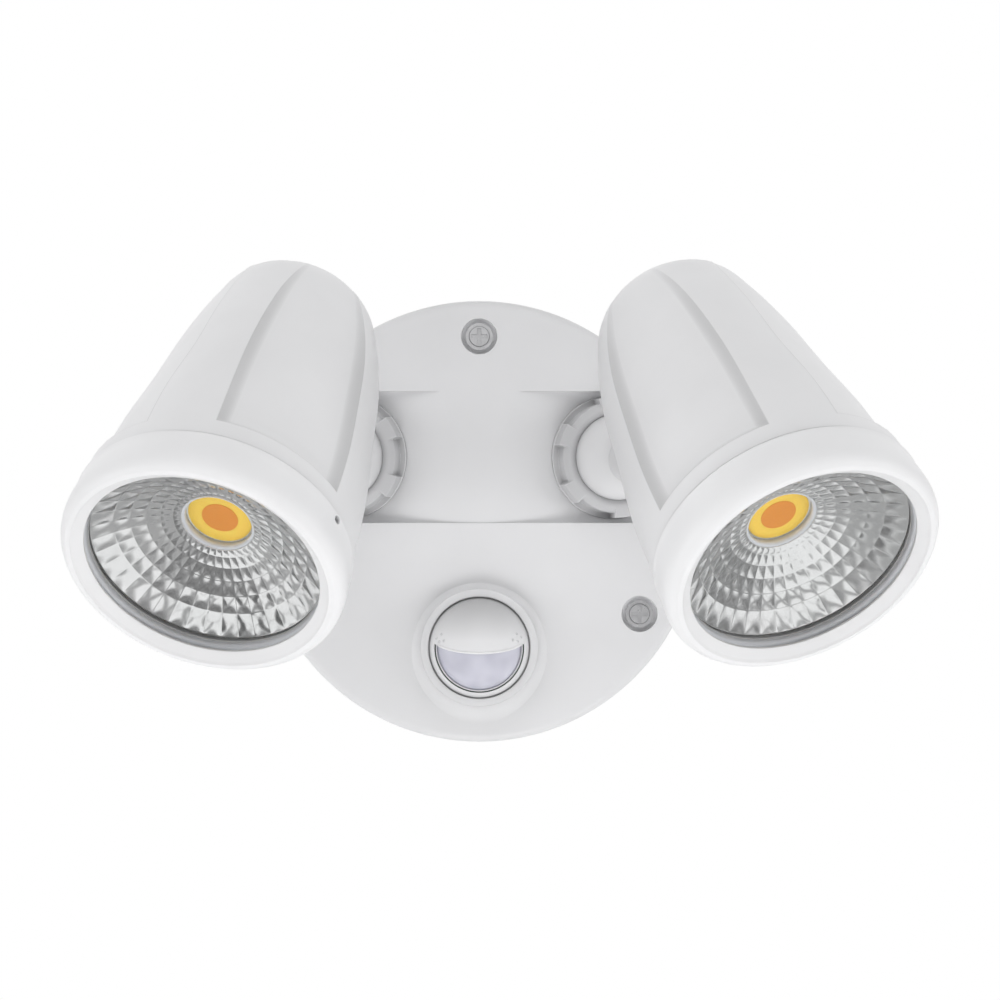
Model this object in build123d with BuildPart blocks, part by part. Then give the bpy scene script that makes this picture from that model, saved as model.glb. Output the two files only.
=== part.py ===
from build123d import *
from math import acos, cos, degrees, radians, sin, sqrt, tan
import os

# Twin-head security light with a motion sensor, in millimetres.
# X is to the right, +Y goes into the wall, +Z is up. The origin is the centre of the base's back face.

# ------------------------------------------------------------------ base
base_radius = 70.0            # round cover, outside
base_depth = 34.0             # wall to the crown of the cover
crown_rise = 2.0              # how far the cover's face domes
edge_round = 2.5              # rounding at the cover's outer edge
cover_wall = 2.6
plate_thickness = 3.0         # moulded plate that goes on the wall
plate_inset = 0.8             # plate radius is this much under the cover's
seal_height = 0.8             # flat rubber ring under the cover's skirt
seal_width = 2.6
foam_inset = 5.0              # foam ring in the plate's back
foam_width = 4.0
foam_depth = 1.2
wall_hole_spacing = 84.0
wall_hole_radius = 2.5
cable_z = 9.0                 # cable entry above the base's centre
cable_radius = 4.0            # bore of the grommet
grommet_wall = 2.6
grommet_flange = 2.2
grommet_head = 1.8

# cover screws
screw_circle = 58.7
screw_count = 3
screw_recess_radius = 5.65
screw_recess_depth = 3.4
screw_head_radius = 4.4
screw_crown_radius = 3.3
screw_rim_height = 1.3
screw_crown_height = 1.1
screw_floor = 1.0              # cover left under a screw's head
screw_radius = 2.0
screw_length = 20.0
screw_clearance = 0.3
screw_play = 0.02             # a screw's shank in its thread
cross_length = 5.2
cross_width = 1.2
cross_depth = 0.9
post_radius = 4.6
post_gap = 10.0               # top of a post behind the cover's crown

# saddle across the cover, with a flat seat sloping back on each side
saddle_z = 20.4
saddle_margin = 1.1          # saddle beyond the nuts' flanges, above and below
saddle_half_flat = 24.0       # half width of the rounded middle
seat_tilt = 12.0              # seats lean outward by this much

# ------------------------------------------------------------------ ball joint
ball_x = 42.8
ball_y = -30.5
ball_radius = 14.6
ball_above_seat = 3.1
ball_clearance = 0.05         # sliding fit on the ball
nut_flange_height = 1.4
nut_flange_edge = 0.3
nut_wall = 4.4                # nut's outside beyond the ball
nut_flange_width = 0.7
nut_chamfer = 0.5
nut_notch_count = 6
nut_notch_width = 12.3
nut_notch_depth = 1.2
nut_notch_sill = 0.2          # a notch starts this much above the flange
nut_lip_inset = 0.8           # lip radius under the ball's
nut_lip_land = 1.2
nut_bevel = 1.0
nut_skirt_wall = 1.5
nut_skirt_length = 5.0
fit_gap = 0.1
cup_wall = 2.6
cup_floor = 2.3
cup_clearance = 0.3
socket_slack = 0.5            # room under the nut's skirt
grip_ring_wall = 1.7
grip_ring_top = -1.0          # from the ball's centre, along the nut's axis
grip_ring_height = 5.0
grip_ring_slit = 1.2
socket_seal_height = 2.0
socket_seal_width = 4.0
wire_bore_clearance = 2.0

# ------------------------------------------------------------------ arm
arm_root_radius = 7.5
arm_shoulder = 2.6            # arm's end beyond its spigot
arm_length = 40.0             # ball centre to the shoulder
arm_neck_length = 3.0         # straight neck at the ball
arm_end_length = 2.0          # straight end at the shoulder
arm_edge = 0.8
ball_back_flat = 1.5
arm_bore_radius = 3.6
spigot_radius = 7.0
spigot_length = 29.5
spigot_clearance = 0.05
spigot_chamfer = 0.5
shoulder_gap = 0.3
clip_lip = 1.6                # clip beyond the spigot
clip_thickness = 1.2
clip_setback = 1.6            # from the spigot's end
ring_groove_depth = 1.3
ring_groove_width = 2.0
ring_groove_setback = 4.0     # from the shoulder
ring_side_gap = 0.1
ring_play = 0.02
clip_mouth = 3.2
boss_wall = 4.15
lock_screw_radius = 1.9
lock_screw_setback = 9.0      # from the shoulder
lock_screw_gap = 0.4
lock_screw_sunk = 0.6
lock_screw_socket = 1.0
lock_screw_socket_depth = 2.0

# ------------------------------------------------------------------ heads
head_length = 120.0
bezel_radius = 43.0
bezel_length = 16.0
bezel_front_drop = 1.2        # the rim's outer edge lies this far behind its lip
rim_width = 3.3
bezel_brow_drop = 0.25
bezel_lip_round = 0.6
bezel_taper = 0.5
bezel_edge = 0.9
lip_inset = 4.5               # lip radius under the bezel's
aperture_inset = 7.25         # glass opening under the bezel's
aperture_depth = 3.3
seam_gap = 0.15
body_step = 1.5               # body radius under the bezel's at the seam
collar_radius_inset = 3.8     # threaded collar inside the bezel
collar_wall = 2.0
glass_thickness = 3.0
glass_edge = 1.45             # glass reaches this far past the opening
gasket_lip = 0.5
gasket_play = 0.02
reflector_depth = 12.2
reflector_start = 8.4
reflector_hole_radius = 10.56
reflector_wall = 1.2
reflector_sill = 0.3          # edge round the reflector's hole
reflector_gap = 0.4           # reflector to LED holder
dish_steps = 4
rim_reveal = 0.55             # reflector mouth under the glass opening
holder_radius = 15.5
holder_bore_radius = 9.4
holder_height = 2.6
board_radius = 16.5
board_thickness = 1.5
emitter_radius = 8.86
emitter_core_radius = 5.53
emitter_height = 0.45
core_height = 0.1
plate_radius_gap = 0.4
heat_plate_thickness = 4.0
body_wall = 3.4
panel_count = 4
panel_half_angle = 29.6
panel_start = 22.0            # front end of the panels, behind the rim
panel_depth = 1.6
panel_end = 114.0
panel_middle = (0.42, 0.93)   # share of a panel's height, share of its half width there
panel_top = (0.93, 0.50)
ledge_inset = 7.5             # bore behind the heat plate, under the body's radius
tail_wall = 4.6
tail_bore = 6.6
grub_radius = 1.3
grub_depth = 13.6             # behind the rim
grub_angle = 10.7
grub_sunk = 1.2
grub_socket = 0.6
small_screw_radius = 1.25
holder_screw_inset = 3.0
led_screw_bite = 2.0          # thread in the heat plate
lead_hole_place = 22.0
lead_hole_radius = 3.2
boss_inside = 14.4            # length of the boss inside the body

# where a head's ball sits, seen from the head: beside, below and behind its rim
ball_side = -5.1
ball_drop = 66.9
ball_setback = 119.2
arm_aim_setback = 40.0        # the arm's line meets the head's axis here

# how the heads are set: turned outward, tipped down, rolled about their own axis
head_yaw = {"left": -19.13, "right": 27.48}
head_pitch = {"left": 44.25, "right": 43.63}
head_roll = {"left": 0.34, "right": 12.0}
notch_phase = {"left": 0.0, "right": 8.0}

# ------------------------------------------------------------------ motion sensor
sensor_z = -39.9
sensor_ball_radius = 16.6
sensor_ball_y = -33.0
sensor_ball_wall = 1.1
sensor_face_height = 6.0      # opening plane in front of the ball's centre
sensor_hole_inset = 0.4       # hole's radius under the ball's, which keeps the ball in
sensor_rim_width = 2.4
sensor_flare = 6.0
sensor_rim_height = 0.8        # straight rim above the flare
boss_root = 5.0                # boss reaches this far under the cover's crown
sensor_grip_wall = 1.4
sensor_sleeve_wall = 2.8
sensor_hole_gap = 0.2         # ball to the hole's edge
sensor_grip_back = 4.0        # behind the ball's centre
sensor_sleeve_back = 5.0
sensor_retainer_thickness = 2.0
retainer_clearance = 0.15
retainer_screw_count = 3
retainer_screw_radius = 0.88
retainer_screw_head = 1.3
retainer_head_height = 1.2
lens_slot_inset = 2.5         # slot's radius under the ball's
lens_slot_gap = 0.5
lens_dome_inset = 1.4
lens_wall = 1.0
lens_skirt = 4.6
lens_rim = 0.6                # full thickness left at the lens's edge
hood_lip_tilt = 20.2          # the hood's lower edge drops toward the front
hood_lip_height = 4.48        # of that edge's plane above the ball's centre, at the centre
sensor_ball_back = 11.0        # the eye's open back, behind the ball's centre
pyro_radius = 4.6
pyro_height = 4.4
pyro_flange = 0.5
pyro_window = (4.0, 3.0)
pyro_window_depth = 0.3

# adjusting dials under the cover
dial_spacing = 20.0
dial_y = -15.0
dial_radius = 4.8
dial_length = 5.6
dial_shaft_radius = 1.5
dial_slot_width = 1.2
dial_slot_length = 7.6
dial_recess = 1.8
dial_shaft_length = 3.6
dial_sunk = 0.3               # dial's end inside the cover's skirt
dial_clearance = 0.3
trimmer_size = 8.5
trimmer_gap = 0.6             # between a dial and its trimmer
trimmer_depth = 4.2           # dial to board
dial_board_width = 34.0
dial_board_depth = 13.0
skirt_cut = 5.0               # how far in the dial holes are cut

# electronics inside the base
board_size = (38.0, 42.0)
board_hole_spacing = (32.0, 36.0)
board_hole_radius = 1.2
board_screw_head = 2.2
board_screw_height = 1.4
driver_z = 17.0
driver_standoff = 3.5
standoff_radius = 2.4
coil_size = 13.0
coil_height = 11.0
capacitor_radius = 4.0
capacitor_height = 13.0
chip_size = (7.0, 10.0)
chip_height = 7.0
fit_slack = 0.1               # a screw's shank in its hole
circuit_thickness = 1.6
terminal_size = (27.0, 11.0, 12.0)
terminal_place = (-34.0, -13.0)
terminal_count = 3
terminal_hole_radius = 2.4
terminal_hole_depth = 5.0
terminal_wire_radius = 1.9
terminal_wire_drop = 2.0       # wire holes behind the block's middle
terminal_screw_drop = 0.8      # screw heads below the block's face
terminal_slot = (4.8, 0.8)
terminal_gap = 1.8             # under a screw, where the wire is clamped

front = Plane.XZ              # local x = X, local y = Z, normal = toward the viewer
beyond = 20.0                 # takes a cut clear of the piece
overshoot = 6.0               # the same, where less room is left
os.makedirs("parts", exist_ok=True)


def write(part, name):
    part.label = name
    export_step(part, f"parts/{name}.step")


def front_at(height):
    """Plane parallel to the wall, this far in front of it."""
    return front.offset(height)


# ------------------------------------------------------------------ shared places
plate_radius = base_radius - plate_inset
skirt_y = -(plate_thickness + seal_height)
crown_radius = ((base_radius - edge_round) ** 2 + crown_rise ** 2) / (2 * crown_rise)
post_top = base_depth - post_gap
skirt_bore = ball_radius + grip_ring_wall + fit_gap
nut_radius = ball_radius + nut_wall
nut_flange_radius = nut_radius + nut_flange_width
nut_notch_radius = nut_radius - nut_notch_depth
saddle_height = 2 * (nut_flange_radius + saddle_margin)
nut_skirt_radius = skirt_bore + nut_skirt_wall
tilt = radians(seat_tilt)
sides = {"left": -1, "right": 1}


def seat_normal(side):
    return Vector(sides[side] * sin(tilt), -cos(tilt), 0)


def joint_plane(side, height=0.0):
    """Plane square to the nut's axis, this far in front of the ball's centre."""
    normal = seat_normal(side)
    centre = Vector(sides[side] * ball_x, ball_y, saddle_z) + normal * height
    return Plane(origin=centre, x_dir=(cos(tilt), sides[side] * sin(tilt), 0), z_dir=normal)


def head_plane(side):
    """Plane of a head's rim: its normal is where the head aims, its y axis points to a rib."""
    yaw, pitch, roll = (radians(angles[side]) for angles in (head_yaw, head_pitch, head_roll))
    aim = Vector(sin(yaw) * cos(pitch), -cos(yaw) * cos(pitch), -sin(pitch))
    up = (Vector(0, 0, 1) - aim * Vector(0, 0, 1).dot(aim)).normalized()
    across = up.cross(aim)
    rib = up * cos(roll) - across * sin(roll)
    beside = rib.cross(aim)
    ball = Vector(sides[side] * ball_x, ball_y, saddle_z)
    rim = ball - beside * ball_side + rib * ball_drop + aim * ball_setback
    return Plane(origin=rim, x_dir=beside, z_dir=aim)


# the arm's frame inside a head's frame: from the ball's centre toward the head's axis
ball_in_head = Vector(ball_side, -ball_drop, -ball_setback)
arm_line = (Vector(0, 0, -arm_aim_setback) - ball_in_head).normalized()
spigot_end = arm_length + spigot_length
clip_z = spigot_end - clip_setback - clip_thickness
groove_z = arm_length + ring_groove_setback
boss_end = clip_z - shoulder_gap
arm_end_radius = spigot_radius + arm_shoulder
boss_radius = spigot_radius + spigot_clearance + boss_wall
arm_plane = Plane(origin=ball_in_head, x_dir=(1, 0, -arm_line.X / arm_line.Z), z_dir=arm_line)


def write_pair(part, name, plane_of):
    """Write one copy of a piece for each side, placed by its plane there."""
    for side in sides:
        write(part.moved(Location(plane_of(side))), f"{side}_{name}")


def arm_place(side):
    """The arm's frame in the light's own frame."""
    rim = head_plane(side)
    origin = rim.from_local_coords(ball_in_head)
    along = rim.from_local_coords(ball_in_head + arm_line) - origin
    beside = rim.from_local_coords(ball_in_head + arm_plane.x_dir) - origin
    return Plane(origin=origin, x_dir=beside, z_dir=along)


# ------------------------------------------------------------------ wall plate
with BuildPart() as wall_plate:
    with BuildSketch(front):
        Circle(plate_radius)
    extrude(amount=plate_thickness)
    with BuildSketch(front_at(plate_thickness)):
        with PolarLocations(screw_circle, screw_count, start_angle=90):
            Circle(post_radius)
    extrude(amount=post_top - plate_thickness)
    with BuildSketch(front_at(plate_thickness)):
        with Locations((0, driver_z)):
            with GridLocations(*board_hole_spacing, 2, 2):
                Circle(standoff_radius)
    extrude(amount=driver_standoff)
    with BuildSketch(front_at(post_top)):
        with PolarLocations(screw_circle, screw_count, start_angle=90):
            Circle(screw_radius)
    extrude(amount=-(screw_length - screw_recess_depth), mode=Mode.SUBTRACT)
    with BuildSketch(front):
        with GridLocations(wall_hole_spacing, 1, 2, 1):
            Circle(wall_hole_radius)
        with Locations((0, cable_z)):
            Circle(cable_radius + grommet_wall)
    extrude(amount=plate_thickness, mode=Mode.SUBTRACT)
    with BuildSketch(front):
        Circle(plate_radius - foam_inset)
        Circle(plate_radius - foam_inset - foam_width, mode=Mode.SUBTRACT)
    extrude(amount=foam_depth, mode=Mode.SUBTRACT)
write(wall_plate.part, "wall_plate")

with BuildPart() as wall_foam:
    with BuildSketch(front):
        Circle(plate_radius - foam_inset)
        Circle(plate_radius - foam_inset - foam_width, mode=Mode.SUBTRACT)
    extrude(amount=foam_depth)
write(wall_foam.part, "wall_foam")

with BuildPart() as cover_seal:
    with BuildSketch(front_at(plate_thickness)):
        Circle(plate_radius)
        Circle(plate_radius - seal_width, mode=Mode.SUBTRACT)
    extrude(amount=seal_height)
write(cover_seal.part, "cover_seal")

with BuildPart() as cable_grommet:
    with BuildSketch(front):
        with Locations((0, cable_z)):
            Circle(cable_radius + grommet_wall)
    extrude(amount=plate_thickness)
    with BuildSketch(front_at(plate_thickness)):
        with Locations((0, cable_z)):
            Circle(cable_radius + grommet_wall + grommet_flange)
    extrude(amount=grommet_head, taper=15)
    with BuildSketch(front):
        with Locations((0, cable_z)):
            Circle(cable_radius)
    extrude(amount=plate_thickness + grommet_head, mode=Mode.SUBTRACT)
write(cable_grommet.part, "cable_grommet")

# ------------------------------------------------------------------ front cover
sensor_hole_radius = sensor_ball_radius - sensor_hole_inset
sensor_rim_radius = sensor_hole_radius + sensor_rim_width
sensor_bore_radius = sensor_ball_radius + sensor_grip_wall
sensor_sleeve_radius = sensor_bore_radius + sensor_sleeve_wall
sensor_bore_start = sqrt(sensor_ball_radius ** 2 - (sensor_hole_radius - sensor_hole_gap) ** 2)
saddle_radius = saddle_half_flat / sin(tilt)
seat_y = ball_y + ball_above_seat * cos(tilt)
seat_x = ball_x - ball_above_seat * sin(tilt)
saddle_shoulder_y = seat_y - (seat_x - saddle_half_flat) * tan(tilt)
saddle_crown_y = saddle_shoulder_y - saddle_radius * (1 - cos(tilt))
saddle_reach = base_radius + overshoot
cup_depth = ball_radius + cup_clearance - ball_above_seat + cup_floor
cup_radius = nut_skirt_radius + fit_gap + cup_wall


def saddle_outline(setback):
    """Outline, seen from above, of all that lies in front of the saddle moved back by setback."""
    end_y = saddle_shoulder_y + (saddle_reach - saddle_half_flat) * tan(tilt) + setback
    shoulder = (saddle_half_flat, saddle_shoulder_y + setback)
    with BuildLine() as outline:
        ThreePointArc((-shoulder[0], shoulder[1]), (0, saddle_crown_y + setback), shoulder)
        Polyline(
            shoulder,
            (saddle_reach, end_y),
            (saddle_reach, -base_depth - beyond),
            (-saddle_reach, -base_depth - beyond),
            (-saddle_reach, end_y),
            (-shoulder[0], shoulder[1]),
        )
    return outline


def cover_profile(inset):
    """Half section of the cover's outside, moved inward by inset, with a square inner edge."""
    face_y = inset - base_depth
    side_r = base_radius - inset
    edge = (base_radius - edge_round, face_y + crown_rise)
    middle_y = face_y + crown_radius - sqrt(crown_radius ** 2 - (edge[0] / 2) ** 2)
    with BuildLine() as profile:
        ThreePointArc((0, face_y), (edge[0] / 2, middle_y), edge)
        if inset == 0:
            bend = edge_round * sqrt(0.5)
            corner = (side_r, edge[1] + edge_round)
            ThreePointArc(edge, (edge[0] + bend, corner[1] - bend), corner)
        else:
            corner = (side_r, edge[1] + edge_round)
            Line(edge, corner)
        Polyline(corner, (side_r, skirt_y), (0, skirt_y), (0, face_y))
    return profile


with BuildPart() as cover_cavity:
    with BuildSketch(Plane.XY):
        add(cover_profile(cover_wall))
        make_face()
    revolve(axis=Axis.Y)
    with BuildSketch(Plane.XY.offset(saddle_z - saddle_height / 2 - cover_wall)):
        add(saddle_outline(cover_wall))
        make_face()
    extrude(amount=saddle_height + 2 * cover_wall, mode=Mode.SUBTRACT)
    for side in sides:
        with BuildSketch(joint_plane(side, -ball_above_seat)):
            Circle(cup_radius)
        extrude(amount=-cup_depth, mode=Mode.SUBTRACT)
        with BuildSketch(joint_plane(side, -ball_above_seat)):
            Circle(cup_radius)
        extrude(amount=beyond, mode=Mode.SUBTRACT)
    with BuildSketch(front_at(post_top)):
        with PolarLocations(screw_circle, screw_count, start_angle=90):
            Circle(screw_recess_radius + cover_wall)
    extrude(amount=beyond, mode=Mode.SUBTRACT)
    with BuildSketch(front_at(-sensor_ball_y - sensor_sleeve_back)):
        with Locations((0, sensor_z)):
            Circle(sensor_sleeve_radius)
    extrude(amount=beyond, mode=Mode.SUBTRACT)

sensor_axis = Axis((0, 0, sensor_z), (0, 1, 0))
boss_face_y = sensor_ball_y - sensor_face_height
boss_root_y = boss_root - base_depth
with BuildPart() as front_cover:
    with BuildSketch(Plane.XY):
        add(cover_profile(0))
        make_face()
    revolve(axis=Axis.Y)
    # flared boss round the sensor
    with BuildSketch(Plane.XY.offset(sensor_z)):
        with BuildLine():
            top = (sensor_rim_radius, boss_face_y)
            foot = (sensor_rim_radius + sensor_flare, boss_face_y + sensor_flare + sensor_rim_height)
            waist_x = foot[0] - sensor_flare * cos(radians(45))
            waist_y = foot[1] - sensor_flare * (1 - sin(radians(45)))
            Line((0, boss_face_y), top)
            Line(top, (sensor_rim_radius, foot[1] - sensor_flare))
            ThreePointArc((sensor_rim_radius, foot[1] - sensor_flare), (waist_x, waist_y), foot)
            Polyline(foot, (foot[0], boss_root_y), (0, boss_root_y), (0, boss_face_y))
        make_face()
    revolve(axis=sensor_axis)
    with BuildSketch(Plane.XY.offset(saddle_z - saddle_height / 2)):
        add(saddle_outline(0))
        make_face()
    extrude(amount=saddle_height, mode=Mode.SUBTRACT)
    add(cover_cavity.part, mode=Mode.SUBTRACT)
    # sockets for the two balls
    for side in sides:
        with BuildSketch(joint_plane(side, -ball_above_seat)):
            Circle(nut_skirt_radius + fit_gap)
        extrude(amount=-(nut_skirt_length + socket_slack), mode=Mode.SUBTRACT)
        with Locations(joint_plane(side).origin):
            Sphere(ball_radius + cup_clearance, mode=Mode.SUBTRACT)
        with BuildSketch(joint_plane(side, -ball_above_seat)):
            Circle(arm_bore_radius + wire_bore_clearance)
        extrude(amount=-cup_depth - overshoot, mode=Mode.SUBTRACT)
    # screw holes with their recesses
    with BuildSketch(front_at(post_top - screw_floor)):
        with PolarLocations(screw_circle, screw_count, start_angle=90):
            Circle(screw_radius + screw_clearance)
    extrude(amount=base_depth, mode=Mode.SUBTRACT)
    with BuildSketch(front_at(base_depth - screw_recess_depth - screw_floor)):
        with PolarLocations(screw_circle, screw_count, start_angle=90):
            Circle(screw_recess_radius)
    extrude(amount=base_depth, mode=Mode.SUBTRACT)
    # sensor opening and the bore behind it
    with BuildSketch(front_at(0)):
        with Locations((0, sensor_z)):
            Circle(sensor_hole_radius)
    extrude(amount=base_depth + beyond, mode=Mode.SUBTRACT)
    with BuildSketch(front_at(-sensor_ball_y + sensor_bore_start)):
        with Locations((0, sensor_z)):
            Circle(sensor_bore_radius)
    extrude(amount=-base_depth, mode=Mode.SUBTRACT)
    # holes for the adjusting dials in the skirt
    with BuildSketch(Plane.XY.offset(-base_radius - 1)):
        with GridLocations(dial_spacing, 1, 2, 1):
            with Locations((0, dial_y)):
                Circle(dial_radius + dial_clearance)
    extrude(amount=cover_wall + skirt_cut, mode=Mode.SUBTRACT)
write(front_cover.part, "front_cover")

# ------------------------------------------------------------------ cover screws
screw_seat = base_depth - screw_recess_depth - screw_floor
with BuildPart() as cover_screws:
    with BuildSketch(front_at(screw_seat - screw_length)):
        with PolarLocations(screw_circle, screw_count, start_angle=90):
            Circle(screw_radius - screw_play)
    extrude(amount=screw_length)
    with BuildSketch(front_at(screw_seat)):
        with PolarLocations(screw_circle, screw_count, start_angle=90):
            Circle(screw_head_radius)
    extrude(amount=screw_rim_height)
    with BuildSketch(front_at(screw_seat + screw_rim_height)):
        with PolarLocations(screw_circle, screw_count, start_angle=90):
            Circle(screw_crown_radius)
    extrude(amount=screw_crown_height, taper=12)
    with BuildSketch(front_at(screw_seat + screw_rim_height + screw_crown_height)):
        with PolarLocations(screw_circle, screw_count, start_angle=90, rotate=False):
            Rectangle(cross_length, cross_width)
            Rectangle(cross_width, cross_length)
    extrude(amount=-cross_depth, mode=Mode.SUBTRACT)
write(cover_screws.part, "cover_screws")

# ------------------------------------------------------------------ electronics in the base
board_y = plate_thickness + driver_standoff
with BuildPart() as driver_board:
    with BuildSketch(front_at(board_y)):
        with Locations((0, driver_z)):
            Rectangle(*board_size)
            with GridLocations(*board_hole_spacing, 2, 2):
                Circle(board_hole_radius, mode=Mode.SUBTRACT)
        with Locations((0, cable_z)):
            Circle(cable_radius + grommet_wall + grommet_flange, mode=Mode.SUBTRACT)
    extrude(amount=circuit_thickness)
write(driver_board.part, "driver_board")

with BuildPart() as driver_parts:
    with BuildSketch(front_at(board_y + circuit_thickness)):
        with Locations((-7.5, driver_z + 8.5)):
            RectangleRounded(coil_size, coil_size, 1.0)
    extrude(amount=coil_height)
    with BuildSketch(front_at(board_y + circuit_thickness)):
        with Locations((11, driver_z + 13), (11, driver_z + 3)):
            Circle(capacitor_radius)
    extrude(amount=capacitor_height)
    with BuildSketch(front_at(board_y + circuit_thickness)):
        with Locations((12, driver_z - 8), (-12, driver_z - 8)):
            Rectangle(*chip_size)
    extrude(amount=chip_height)
write(driver_parts.part, "driver_parts")

with BuildPart() as driver_screws:
    with BuildSketch(front_at(board_y + circuit_thickness)):
        with Locations((0, driver_z)):
            with GridLocations(*board_hole_spacing, 2, 2):
                Circle(board_screw_head)
    extrude(amount=board_screw_height)
    with BuildSketch(front_at(board_y)):
        with Locations((0, driver_z)):
            with GridLocations(*board_hole_spacing, 2, 2):
                Circle(board_hole_radius - fit_slack)
    extrude(amount=circuit_thickness)
write(driver_screws.part, "driver_screws")

with BuildPart() as terminal_block:
    with BuildSketch(front_at(plate_thickness)):
        with Locations(terminal_place):
            Rectangle(terminal_size[0], terminal_size[1])
    extrude(amount=terminal_size[2])
    with BuildSketch(front_at(plate_thickness + terminal_size[2])):
        with Locations(terminal_place):
            with GridLocations(terminal_size[0] / terminal_count, 1, terminal_count, 1):
                Circle(terminal_hole_radius)
    extrude(amount=-terminal_hole_depth, mode=Mode.SUBTRACT)
    with BuildSketch(Plane.XY.offset(terminal_place[1] - terminal_size[1] / 2)):
        with Locations((terminal_place[0], -plate_thickness - terminal_size[2] / 2 + terminal_wire_drop)):
            with GridLocations(terminal_size[0] / terminal_count, 1, terminal_count, 1):
                Circle(terminal_wire_radius)
    extrude(amount=terminal_size[1], mode=Mode.SUBTRACT)
write(terminal_block.part, "terminal_block")

terminal_head_y = plate_thickness + terminal_size[2] - terminal_screw_drop
with BuildPart() as terminal_screws:
    with BuildSketch(front_at(terminal_head_y)):
        with Locations(terminal_place):
            with GridLocations(terminal_size[0] / terminal_count, 1, terminal_count, 1):
                Circle(terminal_hole_radius - fit_slack)
    extrude(amount=terminal_screw_drop - terminal_hole_depth + terminal_gap)
    with BuildSketch(front_at(terminal_head_y)):
        with Locations(terminal_place):
            with GridLocations(terminal_size[0] / terminal_count, 1, terminal_count, 1):
                Rectangle(*terminal_slot)
    extrude(amount=-terminal_slot[1], mode=Mode.SUBTRACT)
write(terminal_screws.part, "terminal_screws")

# ------------------------------------------------------------------ dials and their board
dial_low_z = -sqrt(base_radius ** 2 - (dial_spacing / 2 + dial_radius) ** 2) + dial_sunk
dial_top_z = dial_low_z + dial_length
dial_board_z = dial_top_z + trimmer_depth
with BuildPart() as dial_board:
    with BuildSketch(Plane.XY.offset(dial_board_z)):
        with Locations((0, dial_y)):
            Rectangle(dial_board_width, dial_board_depth)
    extrude(amount=circuit_thickness)
write(dial_board.part, "dial_board")

with BuildPart() as trimmers:
    with BuildSketch(Plane.XY.offset(dial_top_z + trimmer_gap)):
        with GridLocations(dial_spacing, 1, 2, 1):
            with Locations((0, dial_y)):
                Rectangle(trimmer_size, trimmer_size)
                Circle(dial_shaft_radius + ball_clearance, mode=Mode.SUBTRACT)
    extrude(amount=trimmer_depth - trimmer_gap)
write(trimmers.part, "trimmers")

for name, place in (("time_dial", -dial_spacing / 2), ("light_dial", dial_spacing / 2)):
    with BuildPart() as dial:
        with BuildSketch(Plane.XY.offset(dial_low_z)):
            with Locations((place, dial_y)):
                Circle(dial_radius)
        extrude(amount=dial_length)
        with BuildSketch(Plane.XY.offset(dial_top_z)):
            with Locations((place, dial_y)):
                Circle(dial_shaft_radius)
        extrude(amount=dial_shaft_length)
        with BuildSketch(Plane.XY.offset(dial_low_z)):
            with Locations((place, dial_y)):
                Rectangle(dial_slot_width, dial_slot_length)
        extrude(amount=dial_recess, mode=Mode.SUBTRACT)
    write(dial.part, name)

# ------------------------------------------------------------------ motion sensor
sensor_centre = (0, sensor_ball_y, sensor_z)
lens_slot_radius = sensor_ball_radius - lens_slot_inset
lens_radius = lens_slot_radius - lens_slot_gap
lens_dome_radius = sensor_ball_radius - lens_dome_inset
sensor_back = Plane(origin=sensor_centre, x_dir=(1, 0, 0), z_dir=(0, -1, 0))
retainer_screw_circle = (sensor_sleeve_radius + sensor_bore_radius) / 2

with BuildPart() as sensor_grip_ring:
    with BuildSketch(sensor_back.offset(-sensor_grip_back)):
        Circle(sensor_bore_radius - fit_gap)
    extrude(amount=sensor_grip_back + sensor_bore_start - fit_gap)
    with Locations(sensor_centre):
        Sphere(sensor_ball_radius + ball_clearance, mode=Mode.SUBTRACT)
    with BuildSketch(sensor_back.offset(-sensor_grip_back)):
        with Locations((0, -sensor_bore_radius)):
            Rectangle(grip_ring_slit, overshoot)
    extrude(amount=sensor_grip_back + sensor_bore_start, mode=Mode.SUBTRACT)
write(sensor_grip_ring.part, "sensor_grip_ring")

with BuildPart() as sensor_retainer:
    with BuildSketch(sensor_back.offset(-sensor_sleeve_back - sensor_retainer_thickness)):
        Circle(sensor_sleeve_radius)
    extrude(amount=sensor_retainer_thickness)
    with BuildSketch(sensor_back.offset(-sensor_sleeve_back)):
        Circle(sensor_bore_radius - fit_gap)
    extrude(amount=sensor_sleeve_back - sensor_grip_back - fit_gap)
    with Locations(sensor_centre):
        Sphere(sensor_ball_radius + retainer_clearance, mode=Mode.SUBTRACT)
    with BuildSketch(sensor_back.offset(-sensor_sleeve_back - sensor_retainer_thickness)):
        with PolarLocations(retainer_screw_circle, retainer_screw_count, start_angle=30):
            Circle(retainer_screw_radius + screw_play)
    extrude(amount=sensor_retainer_thickness, mode=Mode.SUBTRACT)
write(sensor_retainer.part, "sensor_retainer")

with BuildPart() as retainer_screws:
    with BuildSketch(sensor_back.offset(-sensor_sleeve_back)):
        with PolarLocations(retainer_screw_circle, retainer_screw_count, start_angle=30):
            Circle(retainer_screw_radius)
    extrude(amount=-sensor_retainer_thickness)
    with BuildSketch(sensor_back.offset(-sensor_sleeve_back - sensor_retainer_thickness)):
        with PolarLocations(retainer_screw_circle, retainer_screw_count, start_angle=30):
            Circle(retainer_screw_head)
    extrude(amount=-retainer_head_height)
write(retainer_screws.part, "retainer_screws")

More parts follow.
